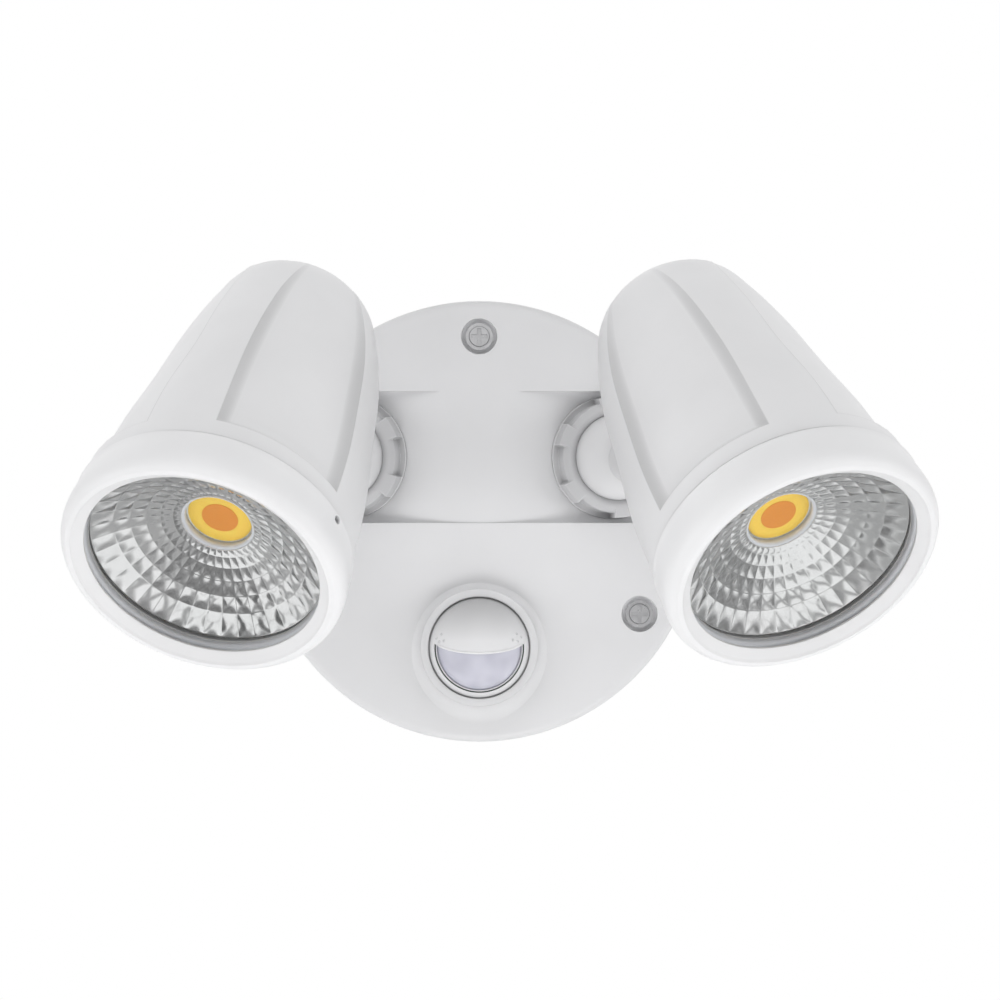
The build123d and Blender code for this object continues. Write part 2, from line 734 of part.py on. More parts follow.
lip_plane = Plane(
    origin=(0, sensor_ball_y, sensor_z + hood_lip_height),
    x_dir=(1, 0, 0),
    z_dir=(0, sin(radians(hood_lip_tilt)), -cos(radians(hood_lip_tilt))),
)
with BuildPart() as lens_window:
    with BuildSketch(sensor_back):
        Circle(lens_slot_radius)
    extrude(amount=sensor_ball_radius + overshoot)
    with BuildSketch(lip_plane):
        Circle(3 * sensor_ball_radius)
    extrude(amount=3 * sensor_ball_radius, mode=Mode.INTERSECT)

with BuildPart() as sensor_ball:
    with Locations(sensor_centre):
        Sphere(sensor_ball_radius)
        Sphere(sensor_ball_radius - sensor_ball_wall, mode=Mode.SUBTRACT)
    add(lens_window.part, mode=Mode.SUBTRACT)
    with BuildSketch(sensor_back.offset(-sensor_ball_back)):
        Circle(sensor_ball_radius)
    extrude(amount=-sensor_ball_radius, mode=Mode.SUBTRACT)
write(sensor_ball.part, "sensor_ball")

lens_edge = sqrt(lens_dome_radius ** 2 - lens_radius ** 2)
with BuildPart() as sensor_lens:
    with BuildSketch(sensor_back.offset(lens_edge - lens_skirt)):
        Circle(lens_radius)
    extrude(amount=lens_dome_radius)
    with BuildSketch(sensor_back):
        Circle(lens_dome_radius)
    with Locations(sensor_centre):
        Sphere(lens_dome_radius, mode=Mode.INTERSECT)
    with BuildSketch(sensor_back.offset(lens_edge - lens_skirt)):
        Circle(lens_radius - lens_wall)
    extrude(amount=lens_skirt - lens_rim, mode=Mode.SUBTRACT)
    with Locations(sensor_centre):
        Sphere(lens_dome_radius - lens_wall, mode=Mode.SUBTRACT)
write(sensor_lens.part, "sensor_lens")

sensor_board_top = lens_edge - lens_skirt
sensor_board_radius = sqrt((sensor_ball_radius - sensor_ball_wall) ** 2 - sensor_board_top ** 2) - fit_gap
with BuildPart() as sensor_board:
    with BuildSketch(sensor_back.offset(sensor_board_top)):
        Circle(sensor_board_radius)
    extrude(amount=-circuit_thickness)
write(sensor_board.part, "sensor_board")

with BuildPart() as pyro_sensor:
    with BuildSketch(sensor_back.offset(sensor_board_top)):
        Circle(pyro_radius)
    extrude(amount=pyro_flange)
    with BuildSketch(sensor_back.offset(sensor_board_top)):
        Circle(pyro_radius - pyro_flange)
    extrude(amount=pyro_height)
    with BuildSketch(sensor_back.offset(sensor_board_top + pyro_height)):
        Rectangle(*pyro_window)
    extrude(amount=-pyro_window_depth, mode=Mode.SUBTRACT)
write(pyro_sensor.part, "pyro_sensor")

# ------------------------------------------------------------------ ball joints
# Rings of the joint are drawn about the nut's axis, with the ball's centre at the origin.
nut_base = -ball_above_seat
nut_lip_radius = ball_radius - nut_lip_inset
seat_radius = ball_radius + ball_clearance
lip_z = sqrt(seat_radius ** 2 - nut_lip_radius ** 2)
bevel_z = lip_z + nut_lip_land
nut_top = bevel_z + nut_bevel
seat_start = grip_ring_top + fit_gap
with BuildPart() as lock_nut:
    with BuildSketch(Plane.XZ):
        with BuildLine():
            half_lip = radians(degrees(acos(nut_lip_radius / seat_radius)) / 2)
            ThreePointArc(
                (seat_radius, 0),
                (seat_radius * cos(half_lip), seat_radius * sin(half_lip)),
                (nut_lip_radius, lip_z),
            )
            Polyline(
                (nut_lip_radius, lip_z),
                (nut_lip_radius, bevel_z),
                (nut_lip_radius + nut_bevel, nut_top),
                (nut_radius - nut_chamfer, nut_top),
                (nut_radius, nut_top - nut_chamfer),
                (nut_radius, nut_base + nut_flange_height),
                (nut_flange_radius - nut_flange_edge, nut_base + nut_flange_height),
                (nut_flange_radius, nut_base + nut_flange_height - nut_flange_edge),
                (nut_flange_radius, nut_base),
                (nut_skirt_radius, nut_base),
                (nut_skirt_radius, nut_base - nut_skirt_length),
                (skirt_bore, nut_base - nut_skirt_length),
                (skirt_bore, seat_start),
                (seat_radius, seat_start),
                (seat_radius, 0),
            )
        make_face()
    revolve(axis=Axis.Z)
    with BuildSketch(Plane.XY.offset(nut_base + nut_flange_height + nut_notch_sill)):
        with PolarLocations(nut_notch_radius + nut_flange_radius / 2, nut_notch_count):
            Rectangle(nut_flange_radius, nut_notch_width)
    extrude(amount=nut_top, mode=Mode.SUBTRACT)
for side in sides:
    turned = lock_nut.part.rotate(Axis.Z, notch_phase[side])
    write(turned.moved(Location(joint_plane(side))), f"{side}_lock_nut")

with BuildPart() as grip_ring:
    with BuildSketch(Plane.XY.offset(grip_ring_top)):
        Circle(skirt_bore - fit_gap)
    extrude(amount=-grip_ring_height)
    Sphere(seat_radius, mode=Mode.SUBTRACT)
    with BuildSketch(Plane.XY.offset(grip_ring_top)):
        with Locations((skirt_bore, 0)):
            Rectangle(4 * grip_ring_wall, grip_ring_slit)
    extrude(amount=-grip_ring_height, mode=Mode.SUBTRACT)
write_pair(grip_ring.part, "grip_ring", joint_plane)

seal_low = nut_base - nut_skirt_length - socket_slack
with BuildPart() as socket_seal:
    with BuildSketch(Plane.XY.offset(seal_low)):
        Circle(skirt_bore - fit_gap)
        Circle(skirt_bore - fit_gap - socket_seal_width, mode=Mode.SUBTRACT)
    extrude(amount=socket_seal_height)
    Sphere(seat_radius, mode=Mode.SUBTRACT)
write_pair(socket_seal.part, "socket_seal", joint_plane)

# ------------------------------------------------------------------ arm with its ball
root_z = sqrt(ball_radius ** 2 - arm_root_radius ** 2)
groove_radius = spigot_radius - ring_groove_depth
with BuildPart() as ball_arm:
    with BuildSketch(Plane.XZ):
        with BuildLine():
            Polyline(
                (0, 0),
                (arm_root_radius, 0),
                (arm_root_radius, root_z + arm_neck_length),
                (arm_end_radius, arm_length - arm_end_length),
                (arm_end_radius, arm_length - arm_edge),
                (arm_end_radius - arm_edge, arm_length),
                (spigot_radius, arm_length),
                (spigot_radius, groove_z),
                (groove_radius, groove_z),
                (groove_radius, groove_z + ring_groove_width),
                (spigot_radius, groove_z + ring_groove_width),
                (spigot_radius, clip_z),
                (groove_radius, clip_z),
                (groove_radius, clip_z + clip_thickness),
                (spigot_radius, clip_z + clip_thickness),
                (spigot_radius, spigot_end - spigot_chamfer),
                (spigot_radius - spigot_chamfer, spigot_end),
                (0, spigot_end),
                close=True,
            )
        make_face()
    revolve(axis=Axis.Z)
    Sphere(ball_radius)
    with BuildSketch(Plane.XY.offset(-ball_radius)):
        Circle(arm_bore_radius)
    extrude(amount=ball_radius + spigot_end, mode=Mode.SUBTRACT)
    with BuildSketch(Plane.XY.offset(ball_back_flat - ball_radius)):
        Circle(ball_radius)
    extrude(amount=-ball_back_flat, mode=Mode.SUBTRACT)
write_pair(ball_arm.part, "ball_arm", arm_place)

with BuildPart() as arm_ring:
    with BuildSketch(Plane.XY.offset(groove_z + ring_side_gap)):
        Circle(spigot_radius + ring_play)
        Circle(groove_radius + ring_play, mode=Mode.SUBTRACT)
    extrude(amount=ring_groove_width - 2 * ring_side_gap)
write_pair(arm_ring.part, "arm_ring", arm_place)

with BuildPart() as arm_clip:
    with BuildSketch(Plane.XY.offset(clip_z + ring_play)):
        Circle(spigot_radius + clip_lip)
        Circle(groove_radius + ring_play, mode=Mode.SUBTRACT)
        with Locations((spigot_radius, 0)):
            Rectangle(2 * spigot_radius, clip_mouth, mode=Mode.SUBTRACT)
    extrude(amount=clip_thickness - 2 * ring_play)
write_pair(arm_clip.part, "arm_clip", arm_place)

# ------------------------------------------------------------------ heads
# A head is drawn in its own frame: the origin is the rim's centre and +Z is where it aims.
body_radius = bezel_radius - body_step
lip_radius = bezel_radius - lip_inset
aperture_radius = bezel_radius - aperture_inset
collar_radius = bezel_radius - collar_radius_inset
collar_bore = collar_radius - collar_wall
glass_radius = aperture_radius + glass_edge
glass_back = aperture_depth + fit_gap + glass_thickness
collar_front = glass_back + gasket_lip
seam = bezel_length + seam_gap
mouth_radius = aperture_radius - rim_reveal
holder_front = reflector_start + reflector_depth + reflector_gap
board_front = holder_front + holder_height
plate_front = board_front + board_thickness
plate_back = plate_front + heat_plate_thickness

# share of the body's radius against share of its length, from the seam to the tail
body_shape = ((0.30, 0.976), (0.50, 0.882), (0.70, 0.783), (0.83, 0.675), (0.93, 0.548), (0.98, 0.378))
body_curve = [(body_radius, -seam)] + [(body_radius * r, -head_length * s) for s, r in body_shape]


# share of the panels' depth at each point of that curve and at the tail, where they run out
panel_fade = (1.0, 1.0, 1.0, 0.85, 0.6, 0.3, 0.15, 0.1)


def body_side(insets):
    """Half outline of the body from the seam to the tail, moved inward by each point's inset."""
    side_points = [(r - inset, z) for (r, z), inset in zip(body_curve, insets)]
    return Spline(*side_points, (0, insets[-1] - head_length), tangents=((0, -1), (-1, 0)))


radial = (cos(radians(180 / panel_count)), sin(radians(180 / panel_count)), 0)
panel_height = panel_end - panel_start
panel_insets = [panel_depth * share for share in panel_fade]
with BuildPart() as panel_tool:
    with BuildSketch(Plane(origin=(0, 0, 0), x_dir=(-radial[1], radial[0], 0), z_dir=radial)):
        with BuildLine():
            wide = body_radius * sin(radians(panel_half_angle))
            middle = (panel_middle[1] * wide, -panel_start - panel_middle[0] * panel_height)
            narrow = (panel_top[1] * wide, -panel_start - panel_top[0] * panel_height)
            Line((-wide, -panel_start), (wide, -panel_start))
            Spline((wide, -panel_start), middle, narrow)
            ThreePointArc(narrow, (0, -panel_end), (-narrow[0], narrow[1]))
            Spline((-narrow[0], narrow[1]), (-middle[0], middle[1]), (-wide, -panel_start))
        make_face()
    extrude(amount=body_radius + beyond)
    with BuildSketch(Plane.XZ):
        with BuildLine():
            body_side(panel_insets)
            Polyline(
                (0, panel_insets[-1] - head_length),
                (0, -head_length - beyond),
                (body_radius + beyond, -head_length - beyond),
                (body_radius + beyond, -seam),
                (body_radius - panel_depth, -seam),
            )
        make_face()
    revolve(axis=Axis.Z, mode=Mode.INTERSECT)

with BuildPart() as head_body:
    with BuildSketch(Plane.XZ):
        with BuildLine():
            body_side([0] * len(panel_fade))
            Polyline(
                (0, -head_length),
                (0, -collar_front),
                (collar_radius, -collar_front),
                (collar_radius, -seam),
                body_curve[0],
            )
        make_face()
    revolve(axis=Axis.Z)
    for number in range(panel_count):
        add(panel_tool.part.rotate(Axis.Z, number * 360 / panel_count), mode=Mode.SUBTRACT)
    with BuildSketch(arm_plane.offset(arm_length + shoulder_gap)):
        Circle(boss_radius)
    extrude(amount=boss_end - arm_length - shoulder_gap)
    # hollow inside, with a ledge for the heat plate
    with BuildSketch(Plane.XZ):
        with BuildLine():
            Polyline(
                (0, tail_wall - head_length),
                (0, 0),
                (collar_bore, 0),
                (collar_bore, -plate_back),
                (body_radius - ledge_inset, -plate_back),
                *[(r - body_wall, z) for r, z in body_curve[2:5]],
                (body_curve[5][0] - tail_wall, body_curve[5][1]),
                (tail_bore, tail_wall - head_length),
                close=True,
            )
        make_face()
    revolve(axis=Axis.Z, mode=Mode.SUBTRACT)
    # inner end of the arm's boss, which the hollow had removed
    with BuildSketch(arm_plane.offset(boss_end)):
        Circle(boss_radius)
    extrude(amount=-boss_inside)
    with BuildSketch(arm_plane.offset(arm_length)):
        Circle(spigot_radius + spigot_clearance)
    extrude(amount=boss_end - arm_length, mode=Mode.SUBTRACT)
    lock_plane = Plane(
        origin=arm_plane.from_local_coords((0, 0, arm_length + lock_screw_setback)),
        x_dir=arm_line,
        z_dir=arm_plane.x_dir,
    )
    with BuildSketch(lock_plane):
        Circle(lock_screw_radius)
    extrude(amount=boss_radius + overshoot, mode=Mode.SUBTRACT)
write_pair(head_body.part, "head_body", head_plane)

with BuildPart() as arm_lock_screw:
    with BuildSketch(lock_plane.offset(spigot_radius + lock_screw_gap)):
        Circle(lock_screw_radius - screw_play)
    extrude(amount=boss_radius - lock_screw_sunk - spigot_radius - lock_screw_gap)
    with BuildSketch(lock_plane.offset(boss_radius - lock_screw_sunk)):
        RegularPolygon(lock_screw_socket, 6)
    extrude(amount=-lock_screw_socket_depth, mode=Mode.SUBTRACT)
write_pair(arm_lock_screw.part, "arm_lock_screw", head_plane)


def grub_plane(distance=0.0):
    """Plane square to the bezel's grub screw, this far from the head's axis."""
    outward = (cos(radians(grub_angle)), sin(radians(grub_angle)), 0)
    return Plane(origin=(0, 0, -grub_depth), x_dir=(0, 0, 1), z_dir=outward).offset(distance)


with BuildPart() as bezel:
    with BuildSketch(Plane.XZ):
        with BuildLine():
            crest = (lip_radius + bezel_lip_round, 0)
            brow = (lip_radius + rim_width - bezel_front_drop, -bezel_brow_drop)
            heel = (bezel_radius - bezel_taper, bezel_edge - bezel_length)
            Line(crest, brow)
            Spline(
                brow,
                (bezel_radius - bezel_front_drop, -bezel_front_drop),
                (bezel_radius, -bezel_length / 2),
                heel,
            )
            Polyline(
                heel,
                (heel[0] - bezel_edge, -bezel_length),
                (collar_radius + fit_gap, -bezel_length),
                (collar_radius + fit_gap, -aperture_depth),
                (aperture_radius, -aperture_depth),
                (aperture_radius, bezel_lip_round - aperture_depth),
                (lip_radius, -bezel_lip_round),
                crest,
            )
        make_face()
    revolve(axis=Axis.Z)
    with BuildSketch(grub_plane()):
        Circle(grub_radius)
    extrude(amount=bezel_radius + overshoot, mode=Mode.SUBTRACT)
write_pair(bezel.part, "bezel", head_plane)

with BuildPart() as bezel_grub_screw:
    with BuildSketch(grub_plane(collar_radius + fit_gap)):
        Circle(grub_radius - screw_play)
        RegularPolygon(grub_socket, 6, mode=Mode.SUBTRACT)
    extrude(amount=bezel_radius - grub_sunk - collar_radius - fit_gap)
write_pair(bezel_grub_screw.part, "bezel_grub_screw", head_plane)

with BuildPart() as front_glass:
    with BuildSketch(Plane.XY.offset(-aperture_depth - fit_gap)):
        Circle(glass_radius)
    extrude(amount=-glass_thickness)
write_pair(front_glass.part, "front_glass", head_plane)

with BuildPart() as glass_gasket:
    with BuildSketch(Plane.XY.offset(-aperture_depth)):
        Circle(collar_radius)
        Circle(glass_radius + gasket_play, mode=Mode.SUBTRACT)
    extrude(amount=aperture_depth - glass_back)
    with BuildSketch(Plane.XY.offset(-glass_back)):
        Circle(collar_radius)
        Circle(mouth_radius + fit_gap, mode=Mode.SUBTRACT)
    extrude(amount=glass_back - collar_front)
write_pair(glass_gasket.part, "glass_gasket", head_plane)


def dish_depth(radius):
    """Depth of the reflector's paraboloid behind its mouth."""
    return reflector_depth * (mouth_radius ** 2 - radius ** 2) / (mouth_radius ** 2 - reflector_hole_radius ** 2)


dish = []
for step in range(dish_steps + 1):
    dish_radius = mouth_radius + (reflector_hole_radius - mouth_radius) * step / dish_steps
    dish.append((dish_radius, -reflector_start - dish_depth(dish_radius)))
with BuildPart() as reflector:
    with BuildSketch(Plane.XZ):
        with BuildLine():
            back = [(r + reflector_wall, z - reflector_sill) for r, z in reversed(dish[1:])]
            Spline(*dish)
            Polyline(dish[-1], (dish[-1][0], back[0][1]), back[0])
            Spline(*back)
            Polyline(
                back[-1],
                (collar_bore - fit_gap, back[-1][1]),
                (collar_bore - fit_gap, -collar_front),
                (mouth_radius, -collar_front),
                dish[0],
            )
        make_face()
    revolve(axis=Axis.Z)
write_pair(reflector.part, "reflector", head_plane)

holder_screw_spacing = 2 * (holder_radius - holder_screw_inset)
with BuildPart() as led_holder:
    with BuildSketch(Plane.XY.offset(-holder_front)):
        Circle(holder_radius)
        Circle(holder_bore_radius, mode=Mode.SUBTRACT)
        with GridLocations(holder_screw_spacing, 1, 2, 1):
            Circle(small_screw_radius + fit_gap, mode=Mode.SUBTRACT)
    extrude(amount=-holder_height)
write_pair(led_holder.part, "led_holder", head_plane)

with BuildPart() as led_board:
    with BuildSketch(Plane.XY.offset(-board_front)):
        Circle(board_radius)
        with GridLocations(holder_screw_spacing, 1, 2, 1):
            Circle(small_screw_radius + fit_gap, mode=Mode.SUBTRACT)
    extrude(amount=-board_thickness)
write_pair(led_board.part, "led_board", head_plane)

with BuildPart() as led_emitter:
    with BuildSketch(Plane.XY.offset(-board_front)):
        Circle(emitter_radius)
    extrude(amount=emitter_height)
write_pair(led_emitter.part, "led_emitter", head_plane)

with BuildPart() as led_core:
    with BuildSketch(Plane.XY.offset(-board_front + emitter_height)):
        Circle(emitter_core_radius)
    extrude(amount=core_height)
write_pair(led_core.part, "led_core", head_plane)

with BuildPart() as led_screws:
    with BuildSketch(Plane.XY.offset(-holder_front)):
        with GridLocations(holder_screw_spacing, 1, 2, 1):
            Circle(small_screw_radius)
    extrude(amount=-(holder_height + board_thickness + led_screw_bite))
write_pair(led_screws.part, "led_screws", head_plane)

with BuildPart() as heat_plate:
    with BuildSketch(Plane.XY.offset(-plate_front)):
        Circle(collar_bore - plate_radius_gap)
        with GridLocations(holder_screw_spacing, 1, 2, 1):
            Circle(small_screw_radius + screw_play, mode=Mode.SUBTRACT)
        with Locations((0, -lead_hole_place)):
            Circle(lead_hole_radius, mode=Mode.SUBTRACT)
    extrude(amount=-heat_plate_thickness)
write_pair(heat_plate.part, "heat_plate", head_plane)

# ------------------------------------------------------------------ joint places, for reference
for side in sides:
    place = arm_place(side)
    lean = degrees(acos(place.z_dir.dot(seat_normal(side))))
    print(f"{side} ball centre {tuple(round(v, 3) for v in place.origin)}")
    print(f"{side} nut axis {tuple(round(v, 5) for v in seat_normal(side))}")
    print(f"{side} arm axis {tuple(round(v, 5) for v in place.z_dir)}, {lean:.2f} degrees off the nut's axis")
print(f"sensor centre {sensor_centre}, dials at x {-dial_spacing / 2} and {dial_spacing / 2}, y {dial_y}")
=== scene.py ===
import math
import bmesh
import bpy
from mathutils import Matrix, Vector


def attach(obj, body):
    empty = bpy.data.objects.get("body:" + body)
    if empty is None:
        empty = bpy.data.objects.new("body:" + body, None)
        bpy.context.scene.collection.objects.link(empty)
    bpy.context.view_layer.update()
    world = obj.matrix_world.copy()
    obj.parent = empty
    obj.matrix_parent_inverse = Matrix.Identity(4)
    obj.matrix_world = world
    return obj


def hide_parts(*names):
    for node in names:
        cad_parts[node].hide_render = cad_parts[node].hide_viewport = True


mm = 0.001
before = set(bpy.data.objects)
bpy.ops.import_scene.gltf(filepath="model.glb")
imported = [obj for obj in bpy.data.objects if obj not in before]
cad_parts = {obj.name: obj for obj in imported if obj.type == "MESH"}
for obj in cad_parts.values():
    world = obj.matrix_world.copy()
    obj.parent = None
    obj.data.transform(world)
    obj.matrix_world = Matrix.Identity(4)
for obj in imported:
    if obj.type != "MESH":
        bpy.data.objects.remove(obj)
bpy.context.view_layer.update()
print("frame loaded:", len(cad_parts), "nodes")


def addNode(tree, kind, settings=None, **inputs):
    node = tree.nodes.new(kind)
    for name, value in (settings or {}).items():
        setattr(node, name, value)
    for name, value in inputs.items():
        node.inputs[name].default_value = value
    return node


def emptyMaterial(name):
    material = bpy.data.materials.new(name)
    material.use_nodes = True
    tree = material.node_tree
    tree.nodes.clear()
    output = tree.nodes.new("ShaderNodeOutputMaterial")
    return material, tree, output


def newMaterial(name):
    material, tree, output = emptyMaterial(name)
    shader = tree.nodes.new("ShaderNodeBsdfPrincipled")
    tree.links.new(shader.outputs["BSDF"], output.inputs["Surface"])
    return material, tree, shader


# noise whose features are about size mm across, in object space
def noiseAt(tree, size, detail=3.0, stretch=None):
    place = tree.nodes.new("ShaderNodeTexCoord")
    noise = addNode(tree, "ShaderNodeTexNoise", Scale=1.0 / (size * mm), Detail=detail)
    if stretch:
        mapping = tree.nodes.new("ShaderNodeMapping")
        mapping.inputs["Scale"].default_value = stretch
        tree.links.new(place.outputs["Object"], mapping.inputs["Vector"])
        tree.links.new(mapping.outputs["Vector"], noise.inputs["Vector"])
    else:
        tree.links.new(place.outputs["Object"], noise.inputs["Vector"])
    return noise.outputs["Fac"]


# turns fromLow to fromHigh into low to high, and stays between them
def spread(tree, value, low, high, fromLow=0.3, fromHigh=0.7):
    node = addNode(tree, "ShaderNodeMapRange", None, **{
        "From Min": fromLow, "From Max": fromHigh, "To Min": low, "To Max": high})
    tree.links.new(value, node.inputs["Value"])
    return node.outputs["Result"]


def tint(tree, value, first, second):
    node = addNode(tree, "ShaderNodeMix", {"data_type": "RGBA"})
    node.inputs[6].default_value = (*first, 1)
    node.inputs[7].default_value = (*second, 1)
    tree.links.new(value, node.inputs[0])
    return node.outputs[2]


# a colour between two, in patches of about size mm
def mottled(tree, size, detail, first, second):
    return tint(tree, spread(tree, noiseAt(tree, size, detail), 0.0, 1.0), first, second)


# roughness in patches of about size mm, from least to most over rough
def patchy(tree, shader, size, detail, least, most, rough=0.0):
    value = spread(tree, noiseAt(tree, size, detail), rough + least, rough + most)
    tree.links.new(value, shader.inputs["Roughness"])


# depth and soft, the radius of the edges, in mm
def bump(tree, shader, height, depth, strength=0.5, soft=0.0):
    node = addNode(tree, "ShaderNodeBump", Strength=strength, Distance=depth * mm)
    tree.links.new(height, node.inputs["Height"])
    if soft:
        rounded = addNode(tree, "ShaderNodeBevel", {"samples": 4}, Radius=soft * mm)
        tree.links.new(rounded.outputs["Normal"], node.inputs["Normal"])
    tree.links.new(node.outputs["Normal"], shader.inputs["Normal"])


def shade(colour, share):
    return tuple(c * share for c in colour)


# a colour times a share that changes over the surface
def scaled(tree, colour, share):
    node = addNode(tree, "ShaderNodeMix", {"data_type": "RGBA", "blend_type": "MULTIPLY"})
    node.inputs[0].default_value = 1.0
    tree.links.new(colour, node.inputs[6])
    tree.links.new(share, node.inputs[7])
    return node.outputs[2]


def calculated(tree, operation, first, second):
    node = addNode(tree, "ShaderNodeMath", {"operation": operation})
    tree.links.new(first, node.inputs[0])
    tree.links.new(second, node.inputs[1])
    return node.outputs[0]


def lengthOf(tree, vector):
    node = addNode(tree, "ShaderNodeVectorMath", {"operation": "LENGTH"})
    tree.links.new(vector, node.inputs[0])
    return node.outputs["Value"]


# the first shader where share is 0, the second where it is 1
def mixShaders(tree, share, first, second, output):
    mix = tree.nodes.new("ShaderNodeMixShader")
    tree.links.new(share, mix.inputs[0])
    tree.links.new(first, mix.inputs[1])
    tree.links.new(second, mix.inputs[2])
    tree.links.new(mix.outputs["Shader"], output.inputs["Surface"])


white = {
    "housing_white": dict(colour=(0.745, 0.745, 0.755), rough=0.50, grain=0.5, soft=0.5),
    "head_white": dict(colour=(0.83, 0.83, 0.84), rough=0.42, grain=0.25, soft=0.6),
    "bezel_white": dict(colour=(0.87, 0.87, 0.88), rough=0.38, grain=0.2, soft=0.5),
    "arm_white": dict(colour=(0.74, 0.74, 0.75), rough=0.45, grain=0.5, soft=0.4),
    "nut_white": dict(colour=(0.54, 0.54, 0.55), rough=0.42, grain=0.3, soft=0.35),
    "nylon_white": dict(colour=(0.74, 0.74, 0.72), rough=0.5, grain=0.4, soft=0.2),
    "terminal_white": dict(colour=(0.76, 0.76, 0.74), rough=0.4, grain=0.3, soft=0.2),
    "plate_grey": dict(colour=(0.55, 0.56, 0.57), rough=0.5, grain=0.6, soft=0.3),
    "dial_grey": dict(colour=(0.40, 0.41, 0.43), rough=0.45, grain=0.5, soft=0.2),
    "holder_white": dict(colour=(0.79, 0.81, 0.85), rough=0.42, grain=0.4, soft=0.15),
    "seal_grey": dict(colour=(0.78, 0.78, 0.78), rough=0.5, grain=0.4, soft=0.15),
    "hood_white": dict(colour=(0.78, 0.78, 0.79), rough=0.45, grain=0.4, soft=0.4),
}


# painted shade in corners, from ambient occlusion: reach in mm, share of the colour there,
# openness under which it is full
paintedCornerShade = {
    "housing_white": (20, 0.87, 0.60),
    "head_white": (7, 0.85, 0.45),
    "nut_white": (5, 0.70, 0.45),
    "arm_white": (12, 0.75, 0.40),
    "bezel_white": (4, 0.90, 0.40),
    "holder_white": (2, 0.95, 0.40),
    "hood_white": (8, 0.75, 0.50),
}
usualCornerShade = (7, 0.70, 0.45)
# painted light and shade in some of the white finishes
paintedLight = {                            # as a share of the colour
    "corner": 1.45,                 # painted light that lifts the housing's deepest corners out of their shade
    "cornerOpen": (0.1, 0.55),      # openness, from all of it to none
    "hoodTop": 0.66,                # painted shade on the top of the sensor's hood, darker where it faces up
    "hoodUp": (0.15, 0.85),         # how far up it faces, from none to all
    "panelWall": 0.74,              # painted shade in the slanting walls of the heads' panels
    "nutEdge": 1.7,                 # painted highlight on the lock nuts' edges
    "nutEdgeWide": 0.45,            # mm
    "nutEdgeFlat": (0.965, 0.998),  # cosine of the bend there, from all of it to none
    "nutOpen": (0.3, 0.55),         # openness, from none to all
}


# painted highlight: over 1 near an edge that stands out, 1 on flat faces and down in a corner
def paintedEdgeHighlight(tree, openness):
    lie = tree.nodes.new("ShaderNodeNewGeometry")
    rounded = addNode(tree, "ShaderNodeBevel", {"samples": 6}, Radius=paintedLight["nutEdgeWide"] * mm)
    same = addNode(tree, "ShaderNodeVectorMath", {"operation": "DOT_PRODUCT"})
    tree.links.new(lie.outputs["Normal"], same.inputs[0])
    tree.links.new(rounded.outputs["Normal"], same.inputs[1])
    near = spread(tree, same.outputs["Value"], paintedLight["nutEdge"] - 1.0, 0.0, *paintedLight["nutEdgeFlat"])
    edge = addNode(tree, "ShaderNodeMath", {"operation": "MULTIPLY_ADD"})
    edge.inputs[2].default_value = 1.0
    tree.links.new(near, edge.inputs[0])
    tree.links.new(spread(tree, openness, 0.0, 1.0, *paintedLight["nutOpen"]), edge.inputs[1])
    return edge.outputs[0]


# painted light and shade in a finish's colour: lighter deep in the housing's corners, darker on
# the hood's top and in the panels' slanting walls, brighter on the nuts' edges
def paintedLightOf(tree, name, openness):
    if name == "housing_white":
        return spread(tree, openness, paintedLight["corner"], 1.0, *paintedLight["cornerOpen"])
    if name == "hood_white":
        lie = tree.nodes.new("ShaderNodeNewGeometry")
        upward = tree.nodes.new("ShaderNodeSeparateXYZ")
        tree.links.new(lie.outputs["Normal"], upward.inputs["Vector"])
        return spread(tree, upward.outputs["Z"], 1.0, paintedLight["hoodTop"], *paintedLight["hoodUp"])
    if name == "head_white":
        settled = addNode(tree, "ShaderNodeAttribute", {"attribute_name": "settled"})
        return spread(tree, settled.outputs["Fac"], 1.0, paintedLight["panelWall"], 0.0, 1.0)
    if name == "nut_white":
        return paintedEdgeHighlight(tree, openness)
    return None


# here and in the finishes below: noise by its size in mm and its detail; gloss by those and the
# least and most roughness, or how far they are from the rough that is given; depths in mm
moulded = {
    "cloud": (22, 2.0),
    "cloudShare": 0.972,            # of the colour, where it is greyest
    "gloss": (4, 4.0, -0.04, 0.05),
    "grain": (0.42, 2.0),
    "grainDepth": 0.02,
    "grainStrength": 0.6,
}


# satin white plastic or powder coat: fine grain, faint cloudiness, uneven gloss, with painted
# shade in corners and, on some finishes, more painted light and shade
def mouldedFinish(name, colour, rough, grain, soft):
    material, tree, shader = newMaterial(name)
    base = mottled(tree, *moulded["cloud"], shade(colour, moulded["cloudShare"]), colour)
    # painted shade: the colour is greyed where ambient occlusion finds surfaces close by
    reach, greyest, start = paintedCornerShade.get(name, usualCornerShade)
    corners = addNode(tree, "ShaderNodeAmbientOcclusion", {"samples": 8}, Distance=reach * mm)
    openness = corners.outputs["AO"]
    base = scaled(tree, base, spread(tree, openness, greyest, 1.0, start, 1.0))
    # then the painted light and shade that some finishes have
    paintedShare = paintedLightOf(tree, name, openness)
    if paintedShare:
        base = scaled(tree, base, paintedShare)
    tree.links.new(base, shader.inputs["Base Color"])
    patchy(tree, shader, *moulded["gloss"], rough)
    bump(tree, shader, noiseAt(tree, *moulded["grain"]), moulded["grainDepth"] * grain,
         moulded["grainStrength"], soft)
    return material


